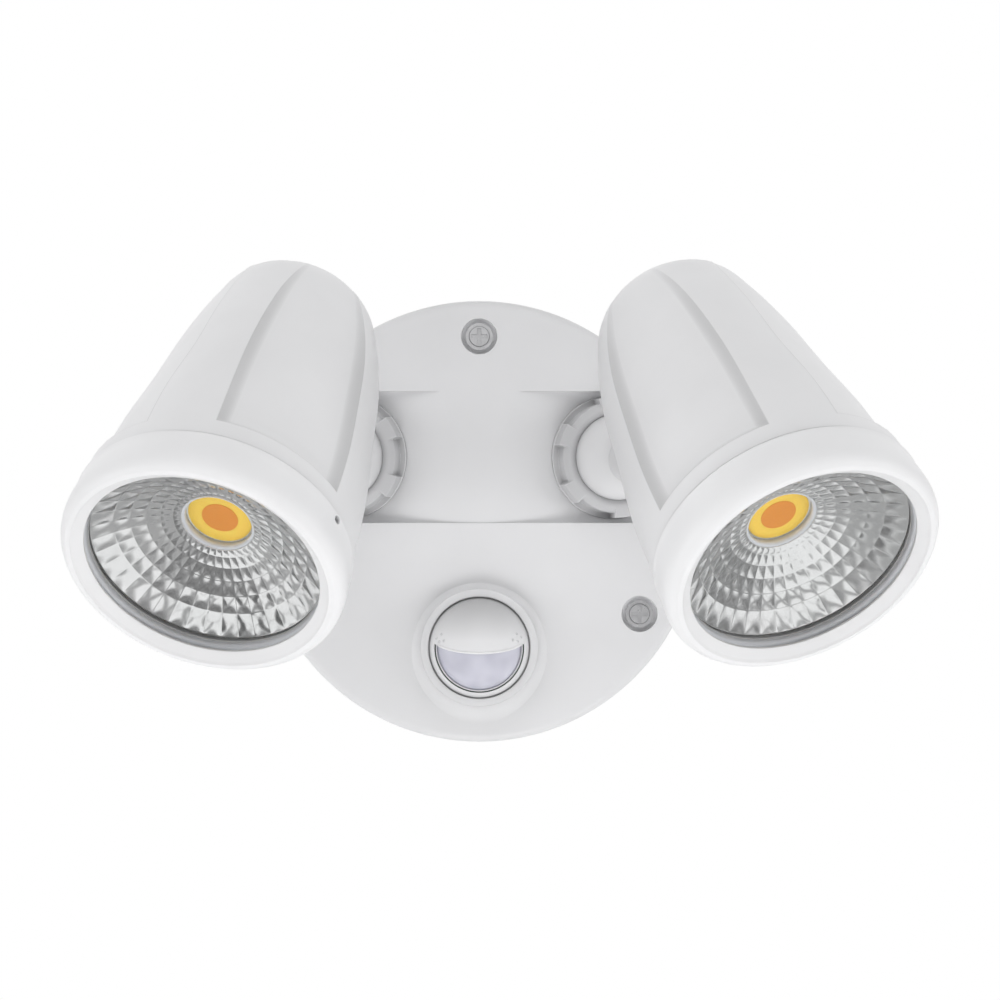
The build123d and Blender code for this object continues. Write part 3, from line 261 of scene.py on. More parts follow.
metals = {
    "screw_steel": dict(colour=(0.56, 0.56, 0.57), rough=0.34, brush=0.35),
    "spring_steel": dict(colour=(0.48, 0.48, 0.50), rough=0.30, brush=0.4),
    "brass": dict(colour=(0.78, 0.60, 0.30), rough=0.30, brush=0.3),
    "heat_aluminium": dict(colour=(0.72, 0.73, 0.74), rough=0.38, brush=0.8),
    "sensor_can": dict(colour=(0.66, 0.64, 0.58), rough=0.28, brush=0.3),
}
machined = {
    "dull": (2.5, 4.0),
    "dullShare": 0.82,
    "gloss": (0.7, 5.0, -0.08, 0.1),
    "marks": (0.5, 2.0, (0.15, 1.0, 1.0)),      # stretched along X
    "marksDepth": 0.012,
    "soft": 0.12,
}


# bare metal with fine machining marks and slightly dulled patches
def metalFinish(name, colour, rough, brush):
    material, tree, shader = newMaterial(name)
    shader.inputs["Metallic"].default_value = 1.0
    base = mottled(tree, *machined["dull"], shade(colour, machined["dullShare"]), colour)
    tree.links.new(base, shader.inputs["Base Color"])
    patchy(tree, shader, *machined["gloss"], rough)
    bump(tree, shader, noiseAt(tree, *machined["marks"]), machined["marksDepth"] * brush,
         soft=machined["soft"])
    return material


darks = {
    "rubber_black": dict(colour=(0.035, 0.035, 0.037), rough=0.6, size=0.5),
    "foam_black": dict(colour=(0.05, 0.05, 0.052), rough=0.9, size=0.35),
    "component_black": dict(colour=(0.03, 0.03, 0.034), rough=0.42, size=0.6),
}
pitted = {
    "dust": (3, 4.0),
    "dustShare": 1.9,
    "gloss": (1.2, 3.0, -0.06, 0.08),
    "depth": 0.06,
    "strength": 0.6,
    "soft": 0.1,
}


# black rubber, foam or component body, its skin pitted at the given size
def darkFinish(name, colour, rough, size):
    material, tree, shader = newMaterial(name)
    base = mottled(tree, *pitted["dust"], colour, shade(colour, pitted["dustShare"]))
    tree.links.new(base, shader.inputs["Base Color"])
    patchy(tree, shader, *pitted["gloss"], rough)
    bump(tree, shader, noiseAt(tree, size), pitted["depth"], pitted["strength"], pitted["soft"])
    return material


board = {
    "greens": dict(Color1=(0.012, 0.12, 0.045), Color2=(0.016, 0.16, 0.06),
                   Mortar=(0.02, 0.24, 0.09)),
    "scale": 180.0,
    "gloss": (2, 3.0, 0.25, 0.38),
    "grain": 0.6,
    "grainDepth": 0.03,
}


# green lacquered circuit board with tracks under the lacquer
def boardFinish(name):
    material, tree, shader = newMaterial(name)
    place = tree.nodes.new("ShaderNodeTexCoord")
    tracks = addNode(tree, "ShaderNodeTexBrick", Scale=board["scale"])
    for socket, green in board["greens"].items():
        tracks.inputs[socket].default_value = (*green, 1)
    tree.links.new(place.outputs["Object"], tracks.inputs["Vector"])
    tree.links.new(tracks.outputs["Color"], shader.inputs["Base Color"])
    patchy(tree, shader, *board["gloss"])
    bump(tree, shader, noiseAt(tree, board["grain"]), board["grainDepth"])
    return material


ceramic = {
    "speck": (0.8, 4.0, (0.70, 0.70, 0.68), (0.80, 0.80, 0.78)),
    "gloss": (1.5, 3.0, 0.3, 0.42),
    "grain": 0.3,
    "grainDepth": 0.01,
}


# white ceramic base of the light emitter
def ceramicFinish(name):
    material, tree, shader = newMaterial(name)
    tree.links.new(mottled(tree, *ceramic["speck"]), shader.inputs["Base Color"])
    patchy(tree, shader, *ceramic["gloss"])
    bump(tree, shader, noiseAt(tree, ceramic["grain"]), ceramic["grainDepth"])
    return material


gels = {
    "phosphor_yellow": dict(colour=(0.97, 0.68, 0.10), deep=(0.90, 0.58, 0.07)),
    "phosphor_orange": dict(colour=(0.84, 0.31, 0.035), deep=(0.78, 0.26, 0.028)),
}
silicone = {
    "grains": (0.35, 5.0),
    "gloss": (1.1, 3.0, 0.36, 0.5),
    "milk": 0.15,
    "milkDepth": 0.4,
    "wave": 0.9,
    "waveDepth": 0.02,
}


# silicone full of phosphor: grainy body under a smooth skin
def gelFinish(name, colour, deep):
    material, tree, shader = newMaterial(name)
    tree.links.new(mottled(tree, *silicone["grains"], deep, colour), shader.inputs["Base Color"])
    patchy(tree, shader, *silicone["gloss"])
    shader.inputs["Subsurface Weight"].default_value = silicone["milk"]
    shader.inputs["Subsurface Scale"].default_value = silicone["milkDepth"] * mm
    bump(tree, shader, noiseAt(tree, silicone["wave"]), silicone["waveDepth"])
    return material


lens = {
    "cloud": (7, 1.0, (0.56, 0.56, 0.64), (0.66, 0.66, 0.74)),
    "gloss": (3, 3.0, 0.28, 0.36),
    "milk": 0.35,
    "milkColour": (1.0, 0.95, 1.1),
    "milkDepth": 1.2,
    "ripple": 1.6,
    "rippleDepth": 0.02,
}


# milky lilac polyethylene with a faint inner ripple
def lensFinish(name):
    material, tree, shader = newMaterial(name)
    tree.links.new(mottled(tree, *lens["cloud"]), shader.inputs["Base Color"])
    patchy(tree, shader, *lens["gloss"])
    shader.inputs["Subsurface Weight"].default_value = lens["milk"]
    shader.inputs["Subsurface Radius"].default_value = lens["milkColour"]
    shader.inputs["Subsurface Scale"].default_value = lens["milkDepth"] * mm
    bump(tree, shader, noiseAt(tree, lens["ripple"]), lens["rippleDepth"])
    return material


glass = {
    "sockets": {"Transmission Weight": 1.0, "IOR": 1.05, "Coat Weight": 0.6, "Coat IOR": 1.45,
                "Coat Roughness": 0.02},
    "green": (30, 1.0, (0.975, 0.985, 0.982), (0.99, 0.992, 0.992)),
    "smears": (9, 4.0, 0.0, 0.012),
}


# clear float glass; light passes it without caustics
def glassFinish(name):
    material, tree, output = emptyMaterial(name)
    shader = addNode(tree, "ShaderNodeBsdfPrincipled", None, **glass["sockets"])
    tree.links.new(mottled(tree, *glass["green"]), shader.inputs["Base Color"])
    patchy(tree, shader, *glass["smears"])
    path = tree.nodes.new("ShaderNodeLightPath").outputs
    clear = tree.nodes.new("ShaderNodeBsdfTransparent")
    lightRay = calculated(tree, "MAXIMUM", path["Is Shadow Ray"], path["Is Diffuse Ray"])
    mixShaders(tree, lightRay, shader.outputs["BSDF"], clear.outputs["BSDF"], output)
    return material


chrome = {
    "haze": (6, 3.0, (0.80, 0.80, 0.803), (0.86, 0.86, 0.863)),
    "patch": 1.8,
    "rough": (0.07, 0.13),
    "roughAgain": 0.35,             # added at each further bounce
}


# vacuum-metallised reflector: bright, with a trace of haze
def chromeFinish(name):
    material, tree, shader = newMaterial(name)
    shader.inputs["Metallic"].default_value = 1.0
    tree.links.new(mottled(tree, *chrome["haze"]), shader.inputs["Base Color"])
    path = tree.nodes.new("ShaderNodeLightPath")
    blur = addNode(tree, "ShaderNodeMath", {"operation": "MULTIPLY_ADD"})
    blur.inputs[1].default_value = chrome["roughAgain"]
    tree.links.new(path.outputs["Glossy Depth"], blur.inputs[0])
    rough = spread(tree, noiseAt(tree, chrome["patch"]), *chrome["rough"])
    tree.links.new(rough, blur.inputs[2])
    tree.links.new(blur.outputs[0], shader.inputs["Roughness"])
    return material


finishes = {}
for makeFinish, family in ((mouldedFinish, white), (metalFinish, metals), (darkFinish, darks),
                           (gelFinish, gels)):
    for name, facts in family.items():
        finishes[name] = makeFinish(name, **facts)
for makeFinish, name in ((boardFinish, "circuit_green"), (ceramicFinish, "led_ceramic"),
                         (lensFinish, "sensor_lens"), (glassFinish, "clear_glass"),
                         (chromeFinish, "reflector_chrome")):
    finishes[name] = makeFinish(name)
for name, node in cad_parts.items():
    for slot in node.material_slots:
        slot.material = finishes[slot.material.name.split(".")[0]]
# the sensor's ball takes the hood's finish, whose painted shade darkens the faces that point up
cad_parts["sensor_ball"].material_slots[0].material = finishes["hood_white"]
print("finishes made:", len(finishes))

# each head's aim in degrees; its ball's centre in mm, from the origin and from its own rim
heads = {
    "left": dict(sign=-1, yaw=-19.13, pitch=44.25, roll=0.34),
    "right": dict(sign=1, yaw=27.48, pitch=43.63, roll=12.0),
}
ballPlace = dict(x=42.8, y=-30.5, z=20.4, beside=-5.1, below=66.9, behind=119.2)


def ballCentre(side):
    return Vector((heads[side]["sign"] * ballPlace["x"], ballPlace["y"], ballPlace["z"]))


# rim centre as origin, +Z where the head aims, Y to a rib
def headFrame(side):
    facts = heads[side]
    yaw, pitch, roll = (math.radians(facts[k]) for k in ("yaw", "pitch", "roll"))
    aim = Vector((math.sin(yaw) * math.cos(pitch), -math.cos(yaw) * math.cos(pitch),
                  -math.sin(pitch)))
    up = (Vector((0, 0, 1)) - aim * aim.z).normalized()
    across = up.cross(aim)
    rib = up * math.cos(roll) - across * math.sin(roll)
    beside = rib.cross(aim)
    rim = (ballCentre(side) - beside * ballPlace["beside"] + rib * ballPlace["below"]
           + aim * ballPlace["behind"])
    matrix = Matrix((beside, rib, aim)).transposed().to_4x4()
    return Matrix.Translation(rim * mm) @ matrix


# a smooth piece from points in millimetres
def meshPiece(name, points, faces, finish):
    mesh = bpy.data.meshes.new(name)
    mesh.from_pydata([tuple(c * mm for c in point) for point in points], [], faces)
    mesh.materials.append(finishes[finish])
    mesh.polygons.foreach_set("use_smooth", [True] * len(mesh.polygons))
    mesh.validate()
    piece = bpy.data.objects.new(name, mesh)
    bpy.context.scene.collection.objects.link(piece)
    return piece


# quads between rings of count points, the last ring joined to the first if closed
def quadFaces(rings, count, closed=True, turned=False):
    faces = []
    for ring in range(rings if closed else rings - 1):
        following = (ring + 1) % rings
        for k in range(count):
            j = (k + 1) % count
            a, b = ring * count + k, ring * count + j
            c, d = following * count + j, following * count + k
            faces.append((a, d, c, b) if turned else (a, b, c, d))
    return faces


def tidyNormals(piece):
    work = bmesh.new()
    work.from_mesh(piece.data)
    bmesh.ops.recalc_face_normals(work, faces=work.faces)
    work.to_mesh(piece.data)
    work.free()


headShape = {
    "length": 120.0,
    "radius": 41.5,
    "seam": 16.15,                  # front end of the painted body, behind the rim
    "shape": ((0.30, 0.976), (0.50, 0.882), (0.70, 0.783), (0.83, 0.675), (0.93, 0.548),
              (0.98, 0.378)),       # share of the length, share of the radius
    "collar": ((37.4, 40.0), (37.4, 6.9), (39.2, 6.9), (39.2, 16.15), (41.38, 16.15),
               (41.47, 16.18), (41.5, 16.3), (41.5, 19.0)),    # radius, behind the rim
    "wall": 3.0,
    "tailWall": 4.0,
    "panelStart": 22.0,
    "panelLength": 92.0,
    "panelHalf": 20.5,              # half width at the front end
    "panelDepth": 2.6,
    "narrowing": ((2, 0.397), (6, 0.243)),      # toward the tail: power, share of that half
    "coveWide": 3.2,                # slanting side walls of the panels
    "coveLeast": 0.3,               # share of that width where a panel has faded
    "coveMost": 0.6,                # share of a panel's half width that a wall may take
    "coveFront": 3.3,               # slanting wall at their front end
    "coveSwell": 1.7,               # 1 is a straight slope, more rounds its foot
    "fadeFrom": 60.0,
    "fade": 2.2,                    # power of the panels' fading toward the tail
    "settled": 2.2,                 # power of the painted shade's fading down a slanting wall
    "settledTail": 3,               # and toward the tail
    "cove": (0.0, 0.035, 0.12, 0.25, 0.4, 0.56, 0.72, 0.86, 1.0),
    "rib": (0.0, 0.3, 0.6, 0.85, 0.965),
    "floorColumns": 8,
    "curveParts": 24,
    "leadRows": (1.2, 0.1),         # ahead of the panels
    "rowStep": 2.4,
    "rowLeast": 0.5,                # between the last two rows of the panels
    "tailFrom": 0.3,                # behind the panels
    "tailRows": 14,
    "insideRows": (112, 104, 96, 84, 68, 52),   # behind the rim
}
armBoss = {
    "axis": {"left": (-0.28375, -0.9563, -0.07056), "right": (0.38257, -0.92179, -0.06277)},
    "outline": ((7.3, 44.0), (7.3, 40.3), (10.7, 40.3), (11.0, 40.4), (11.15, 40.75),
                (11.15, 58.0), (7.3, 58.0)),        # radius, distance from the ball's centre
    "sides": 72,
}


# half outline from the seam to the tail: a smooth curve through the shape's points
def sideCurve():
    facts = headShape
    points = [Vector((facts["radius"], facts["seam"]))]
    points += [Vector((facts["radius"] * r, facts["length"] * s)) for s, r in facts["shape"]]
    points.append(Vector((0, facts["length"])))
    steps = [(b - a).length for a, b in zip(points, points[1:])]
    slopes = [Vector((0, 1))]
    for k in range(1, len(points) - 1):
        before, after = steps[k - 1], steps[k]
        slopes.append(((points[k + 1] - points[k]) / after * before
                       + (points[k] - points[k - 1]) / before * after) / (before + after))
    slopes.append(Vector((-1, 0)))
    curve = []
    for k, step in enumerate(steps):
        for part in range(facts["curveParts"]):
            t = part / facts["curveParts"]
            curve.append(points[k] * (2 * t ** 3 - 3 * t ** 2 + 1)
                         + slopes[k] * step * (t ** 3 - 2 * t ** 2 + t)
                         + points[k + 1] * (3 * t ** 2 - 2 * t ** 3)
                         + slopes[k + 1] * step * (t ** 3 - t ** 2))
    curve.append(points[-1])
    return curve


def radiusAt(curve, back):
    for a, b in zip(curve, curve[1:]):
        if b.y >= back:
            return a.x + (b.x - a.x) * (back - a.y) / max(b.y - a.y, 1e-6)
    return 0.0


# rows from the collar's inside, over the rim and the panels, to the tail
def headRows(curve):
    facts = headShape
    rows = list(facts["collar"])
    start, end = facts["panelStart"], facts["panelStart"] + facts["panelLength"]
    backs = [start - ahead for ahead in facts["leadRows"]]
    backs += [start + facts["coveFront"] * part for part in facts["cove"]]
    back = backs[-1] + facts["rowStep"]
    while back < end - facts["rowLeast"]:
        backs.append(back)
        back += facts["rowStep"]
    backs.append(end)
    rows += [(radiusAt(curve, back), back) for back in backs]
    tail = [point for point in curve if point.y > end + facts["tailFrom"]]
    for k in range(facts["tailRows"]):
        point = tail[round(k * (len(tail) - 2) / (facts["tailRows"] - 1))]
        if (point.x, point.y) != rows[-1]:
            rows.append((point.x, point.y))
    return rows


# a quarter's columns from one rib's middle to the next: rib, slanting wall, panel floor
def panelColumns():
    facts = headShape
    half = [("rib", part) for part in facts["rib"]] + [("cove", part) for part in facts["cove"]]
    columns = [(-1, kind, part) for kind, part in half]
    for k in range(1, facts["floorColumns"]):
        columns.append((1, "floor", 2 * k / facts["floorColumns"] - 1))
    columns += [(1, kind, part) for kind, part in reversed(half)]
    return columns[:-1]


# how far a column is turned from its panel's middle, and how far it is sunk
def panelPlace(column, radius, back, endRadius):
    facts = headShape
    side, kind, part = column
    end = facts["panelStart"] + facts["panelLength"]
    share = min(max((back - facts["panelStart"]) / facts["panelLength"], 0.0), 1.0)
    half = facts["panelHalf"] * (1 - sum(lost * share ** n for n, lost in facts["narrowing"]))
    late = min(max(back - facts["fadeFrom"], 0.0) / (end - facts["fadeFrom"]), 1.0)
    deep = 1 - late ** facts["fade"]
    least = facts["coveLeast"]
    cove = min(facts["coveWide"] * (least + (1 - least) * deep), facts["coveMost"] * half)
    level = min(max((back - facts["panelStart"]) / facts["coveFront"], 0.0), 1.0)
    across = radius if facts["panelStart"] <= back < end else endRadius
    if back < facts["panelStart"]:
        across = facts["radius"]
    if kind == "rib":
        edge = math.asin(half / across)
        turn, level = side * (math.pi / 4 - part * (math.pi / 4 - edge)), 0.0
    elif kind == "cove":
        turn, level = side * math.asin((half - cove * part) / across), min(level, part)
    else:
        turn = math.asin((half - cove) * part / across)
    return turn, facts["panelDepth"] * deep * (1 - (1 - level) ** facts["coveSwell"])


# share of painted shade in the panels' walls: 1 at the top of a panel's slanting wall, 0 at its
# foot, on ribs and on the floor
def paintedWallShadeAt(column, back):
    facts = headShape
    end = facts["panelStart"] + facts["panelLength"]
    if column[1] == "rib" or not facts["panelStart"] <= back < end:
        return 0.0
    level = min((back - facts["panelStart"]) / facts["coveFront"], 1.0)
    if column[1] == "cove":
        level = min(level, column[2])
    late = min(max(back - facts["fadeFrom"], 0.0) / (end - facts["fadeFrom"]), 1.0)
    return (1 - level ** facts["settled"]) * (1 - late ** facts["settledTail"])


# one ring of points round the head: on its skin with the panels sunk, or a wall inside it
def headRing(columns, radius, back, endRadius, wall=None):
    points = []
    for quarter in range(4):
        for column in columns:
            turn, sunk = panelPlace(column, radius, back, endRadius)
            turn += math.pi / 4 + quarter * math.pi / 2
            r = radius - (sunk if wall is None else wall)
            points.append((r * math.cos(turn), r * math.sin(turn), -back))
    return points


# painted body with its four panels, its collar and the arm's boss, in one piece
def headBodyPiece(side):
    facts = headShape
    curve = sideCurve()
    rows = headRows(curve)
    columns = panelColumns()
    endRadius = radiusAt(curve, facts["panelStart"] + facts["panelLength"])
    count = 4 * len(columns)
    points, settled = [], []
    for radius, back in rows:
        points += headRing(columns, radius, back, endRadius)
        settled += [paintedWallShadeAt(column, back) for column in columns] * 4
    for back in facts["insideRows"]:
        points += headRing(columns, radiusAt(curve, back), back, endRadius, facts["wall"])
    tip = len(points)
    points += [(0, 0, -facts["length"]), (0, 0, -facts["length"] + facts["tailWall"])]
    # the tail is closed by a fan outside and another inside
    faces = quadFaces(tip // count, count, turned=True)
    outside, inside = (len(rows) - 1) * count, len(rows) * count
    del faces[outside:inside]
    for k in range(count):
        j = (k + 1) % count
        faces += [(outside + k, tip, outside + j), (inside + k, inside + j, tip + 1)]
    piece = meshPiece(side + "_painted_head", points, faces, "head_white")
    # painted shade for the panels' slanting walls, kept on the points for the head's finish
    marks = piece.data.attributes.new("settled", "FLOAT", "POINT")
    marks.data.foreach_set("value", settled + [0.0] * (len(points) - len(settled)))
    piece.data.transform(headFrame(side))
    addBoss(piece, side)
    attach(piece, side + "_head")
    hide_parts(side + "_head_body")


# ring round the arm where it enters the body
def addBoss(piece, side):
    facts = armBoss
    axis = Vector(facts["axis"][side])
    first = axis.orthogonal().normalized()
    second = axis.cross(first)
    ring = bmesh.new()
    ring.from_mesh(piece.data)
    loops = []
    for radius, away in facts["outline"]:
        loop = []
        for k in range(facts["sides"]):
            turn = 2 * math.pi * k / facts["sides"]
            spoke = first * math.cos(turn) + second * math.sin(turn)
            place = ballCentre(side) + axis * away + spoke * radius
            loop.append(ring.verts.new(place * mm))
        loops.append(loop)
    for a, b in zip(loops, loops[1:] + loops[:1]):
        for k in range(facts["sides"]):
            j = (k + 1) % facts["sides"]
            ring.faces.new((a[k], a[j], b[j], b[k])).smooth = True
    bmesh.ops.recalc_face_normals(ring, faces=ring.faces)
    ring.to_mesh(piece.data)
    ring.free()


for side in heads:
    headBodyPiece(side)
print("head bodies made")

nutShape = {
    "base": -3.1,                   # foot on the saddle, from the ball's centre
    "land": 19.3,
    "notchFloor": 17.75,
    "notches": 6,
    "notchHalf": 18.9,              # degrees
    "notchParts": (-1, -0.965, -0.8, -0.5, -0.2, 0.2, 0.5, 0.8, 0.965, 1),     # of that half
    "landParts": (0.015, 0.05, 0.25, 0.5, 0.75, 0.95, 0.985),
    "phase": {"left": 0.0, "right": 8.0},
    "lean": 12.0,                   # axis turned outward
    "outline": (                    # radius, height over the foot; None is land or notch floor
        (15.2, 0.06), (19.6, 0.06), (19.7, 0.16), (19.7, 1.2), (19.6, 1.36), (19.45, 1.4),
        (None, 1.42, 0.1), (None, 1.6, 0.0), (None, 7.35, 0.0), (None, 7.7, -0.06),
        (None, 7.9, -0.2), (None, 8.05, -0.45), (16.3, 8.8), (15.4, 9.05), (14.6, 8.95),
        (13.85, 8.5), (13.62, 8.3), (13.75, 8.0), (14.75, 4.6), (15.2, 3.1)),
}


# castellated lock nut: six shallow bays between the lands, its face dished toward the ball
def lockNutPiece(side):
    facts = nutShape
    sign = heads[side]["sign"]
    lean = math.radians(facts["lean"])
    axis = Vector((sign * math.sin(lean), -math.cos(lean), 0))
    across = Vector((math.cos(lean), sign * math.sin(lean), 0))
    columns = []                    # degrees round the nut, radius of its side there
    pitch = 360 / facts["notches"]
    half = facts["notchHalf"]
    for number in range(facts["notches"]):
        middle = facts["phase"][side] + number * pitch
        columns += [(middle + half * part, facts["notchFloor"]) for part in facts["notchParts"]]
        columns += [(middle + half + (pitch - 2 * half) * part, facts["land"])
                    for part in facts["landParts"]]
    points = []
    for radius, height, *shift in facts["outline"]:
        for turn, wall in columns:
            r = wall + shift[0] if radius is None else radius
            turn = math.radians(turn)
            spoke = across * math.cos(turn) + Vector((0, 0, 1)) * math.sin(turn)
            points.append(ballCentre(side) + axis * (facts["base"] + height) + spoke * r)
    faces = quadFaces(len(facts["outline"]), len(columns))
    piece = meshPiece(side + "_castellated_nut", points, faces, "nut_white")
    tidyNormals(piece)
    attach(piece, side + "_nut")
    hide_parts(side + "_lock_nut")


for side in heads:
    lockNutPiece(side)
print("lock nuts made")

sensorTrim = {
    "centre": (0.0, -33.0, -39.9),
    "eye": 16.6,
    "lipHeight": 4.48,              # hood's lower edge over the eye's centre
    "lipTilt": 20.2,
    "lipReach": 13.7,               # half length of the bead on that edge
    "lipBead": 0.34,
    "lipOver": 0.12,                # bead's middle over that edge
    "lipSunk": 0.3,                 # share of its radius that its middle is inside the eye
    "lipSteps": 48,
    "rim": ((13.3, 6.0), (13.3, 8.2), (13.4, 8.32), (13.68, 8.32), (13.78, 8.2), (13.78, 6.0)),
    "rimSides": 120,
    "lining": ((15.98, 4.75), (15.98, 5.15), (16.18, 5.15), (16.18, 4.75)),     # of the sleeve
    "pips": ((-13.5, 3.0), (-12.0, 4.3), (-11.2, 2.4), (-12.6, 2.0),
             (13.2, 3.3), (11.8, 4.4), (10.6, 2.6), (12.1, 2.1)),    # x, z on the hood
    "pip": 0.5,
    "pipFlat": 0.5,
    "pipSunk": 0.02,
}


# a closed outline of radius and height, turned about the place's own Z
def ringPiece(name, outline, sides, place, finish):
    points = []
    for radius, height in outline:
        for k in range(sides):
            turn = 2 * math.pi * k / sides
            points.append((radius * math.cos(turn), radius * math.sin(turn), height))
    piece = meshPiece(name, points, quadFaces(len(outline), sides), finish)
    piece.data.transform(place)
    tidyNormals(piece)
    return piece


# a tube along places, closed at both ends and thinner over the last three of them
def beadPiece(name, places, radius, finish, sides=12):
    points = []
    last = len(places) - 1
    for k, place in enumerate(places):
        along = (places[min(k + 1, last)] - places[max(k - 1, 0)]).normalized()
        first = along.cross(Vector((0, 1, 0))).normalized()
        second = along.cross(first)
        thin = radius * min(1 + min(k, last - k), 4) / 4
        for part in range(sides):
            turn = 2 * math.pi * part / sides
            points.append(place + (first * math.cos(turn) + second * math.sin(turn)) * thin)
    faces = quadFaces(len(places), sides, closed=False)
    faces += [tuple(range(sides)), tuple(range(len(points) - sides, len(points)))]
    piece = meshPiece(name, points, faces, finish)
    tidyNormals(piece)
    return piece


# rolled edge of the hood, along the circle where a tilted plane cuts the eye
def hoodEdgePiece():
    facts = sensorTrim
    tilt = math.radians(facts["lipTilt"])
    normal = Vector((0, math.sin(tilt), -math.cos(tilt)))
    front = Vector((0, -math.cos(tilt), -math.sin(tilt)))
    away = -facts["lipHeight"] * math.cos(tilt)
    ring = math.sqrt(facts["eye"] ** 2 - away ** 2)
    middle = Vector(facts["centre"]) + normal * (away - facts["lipOver"])
    reach = math.asin(facts["lipReach"] / ring)
    places = []
    for k in range(facts["lipSteps"] + 1):
        turn = reach * (2 * k / facts["lipSteps"] - 1)
        spoke = Vector((math.sin(turn), 0, 0)) + front * math.cos(turn)
        places.append(middle + spoke * (ring - facts["lipBead"] * facts["lipSunk"]))
    return beadPiece("hood_edge", places, facts["lipBead"], "bezel_white")


# small grip pips at both ends of the hood
def hoodPipsPiece():
    facts = sensorTrim
    pips = bmesh.new()
    for x, z in facts["pips"]:
        out = Vector((x, -math.sqrt(facts["eye"] ** 2 - x ** 2 - z ** 2), z)).normalized()
        turned = out.to_track_quat("Z", "Y").to_matrix().to_4x4()
        flat = Matrix.Diagonal((1, 1, facts["pipFlat"], 1))
        place = Vector(facts["centre"]) + out * (facts["eye"] - facts["pipSunk"])
        bmesh.ops.create_icosphere(pips, subdivisions=3, radius=facts["pip"] * mm,
                                   matrix=Matrix.Translation(place * mm) @ turned @ flat)
    for face in pips.faces:
        face.smooth = True
    mesh = bpy.data.meshes.new("hood_pips")
    pips.to_mesh(mesh)
    pips.free()
    mesh.materials.append(finishes["nut_white"])
    piece = bpy.data.objects.new("hood_pips", mesh)
    bpy.context.scene.collection.objects.link(piece)
    return piece


# hood's edge and pips, the lens's pale rim and the lining of the sleeve that the eye turns in
def sensorTrimPieces():
    facts = sensorTrim
    turned = (Matrix.Translation(Vector(facts["centre"]) * mm)
              @ Matrix.Rotation(math.radians(90), 4, "X"))
    bead = hoodEdgePiece()
    rim = ringPiece("lens_rim", facts["rim"], facts["rimSides"], turned, "bezel_white")
    lining = ringPiece("sleeve_lining", facts["lining"], facts["rimSides"], turned, "seal_grey")
    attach(lining, "base")
    pipPiece = hoodPipsPiece()
    for piece, slot in ((bead, "bezel_white"), (rim, "bezel_white"), (pipPiece, "nut_white")):
        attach(piece, "sensor_eye")


sensorTrimPieces()
print("sensor trim made")

emitter = {                         # radius, in front of the rim's plane
    "holder": ((10.35, -21.0), (15.5, -21.0), (15.5, -23.6), (10.35, -23.6)),
    "gel": ((0.05, -23.58), (0.05, -23.16), (9.62, -23.16), (9.76, -23.3), (9.76, -23.58)),
    "sides": 120,
}
for side in heads:
    for part, node, finish in (("holder", "led_holder", "holder_white"),
                               ("gel", "led_emitter", "phosphor_yellow")):
        ring = ringPiece(f"{side}_{part}_ring", emitter[part], emitter["sides"],
                         headFrame(side), finish)
        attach(ring, side + "_head")
        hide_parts(f"{side}_{node}")
print("emitters made")

glassEdge = {                       # frosted edge of the glass, just inside its rim
    "outline": ((36.55, -3.9), (37.1, -3.9), (37.1, -6.35), (35.35, -6.35)),
    "sides": 160,
}
for side in heads:
    edge = ringPiece(side + "_frosted_edge", glassEdge["outline"], glassEdge["sides"],
                     headFrame(side), "holder_white")
    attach(edge, side + "_head")
print("glass edges made")

dish = {
    "columns": 40,
    "rings": (11.15, 13.4, 16.9, 20.8, 25.0, 29.4, 35.2),   # facet borders, from the axis
    "depth": 12.2,
    "start": 8.4,                   # mouth behind the rim
    "flange": ((0.25, 0.12), (0.6, 0.12), (0.75, -0.1), (0.75, -1.6)),      # past the mouth
    "skin": (0.45, -1.1),           # outer side of the wall, from the facets
    "foot": 0.35,                   # hole's edge behind the facets
    "bulge": 0.125,                 # facet's rise, as a share of its half width
    "steps": (-1.0, -0.92, -0.7, -0.42, -0.14, 0.14, 0.42, 0.7, 0.92),
}


# dish of pillow facets: each swells a little out of the paraboloid
def reflectorPiece(side):
    facts = dish
    hole, mouth = facts["rings"][0], facts["rings"][-1]
    gain = facts["depth"] / (mouth ** 2 - hole ** 2)
    inward = []                     # radius, half the ring's width, place in it from -1 to 1
    for inner, outer in zip(facts["rings"], facts["rings"][1:]):
        for step in facts["steps"]:
            inward.append((inner + (outer - inner) * (step + 1) / 2, (outer - inner) / 2, step))
    inward.append((mouth, 1.0, 1.0))
    around = [(2 * math.pi * (column + (step + 1) / 2) / facts["columns"], step)
              for column in range(facts["columns"]) for step in facts["steps"]]
    points = []
    for radius, half, step in inward:
        wide = math.pi * radius / facts["columns"]
        rise = facts["bulge"] * min(half, wide)
        slope = 2 * gain * radius
        lean = math.hypot(1, slope)
        for angle, turn in around:
            swell = rise * (1 - step ** 2) * (1 - turn ** 2)
            r = radius - swell * slope / lean
            z = -facts["start"] - gain * (mouth ** 2 - radius ** 2) + swell / lean
            points.append((r * math.cos(angle), r * math.sin(angle), z))
    # rim flange, outer skin and hole edge close the shell
    back = [(mouth + out, -facts["start"] + up) for out, up in facts["flange"]]
    out, up = facts["skin"]
    for radius in reversed(facts["rings"][:-1]):
        back.append((radius + out, -facts["start"] - gain * (mouth ** 2 - radius ** 2) + up))
    back.append((hole, -facts["start"] - facts["depth"] - facts["foot"]))
    for radius, depth in back:
        points += [(radius * math.cos(angle), radius * math.sin(angle), depth)
                   for angle, turn in around]
    faces = quadFaces(len(inward) + len(back), len(around), turned=True)
    piece = meshPiece(side + "_facet_reflector", points, faces, "reflector_chrome")
    piece.data.transform(headFrame(side))
    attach(piece, side + "_head")
    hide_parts(side + "_reflector")


for side in heads:
    reflectorPiece(side)
print("reflectors made")

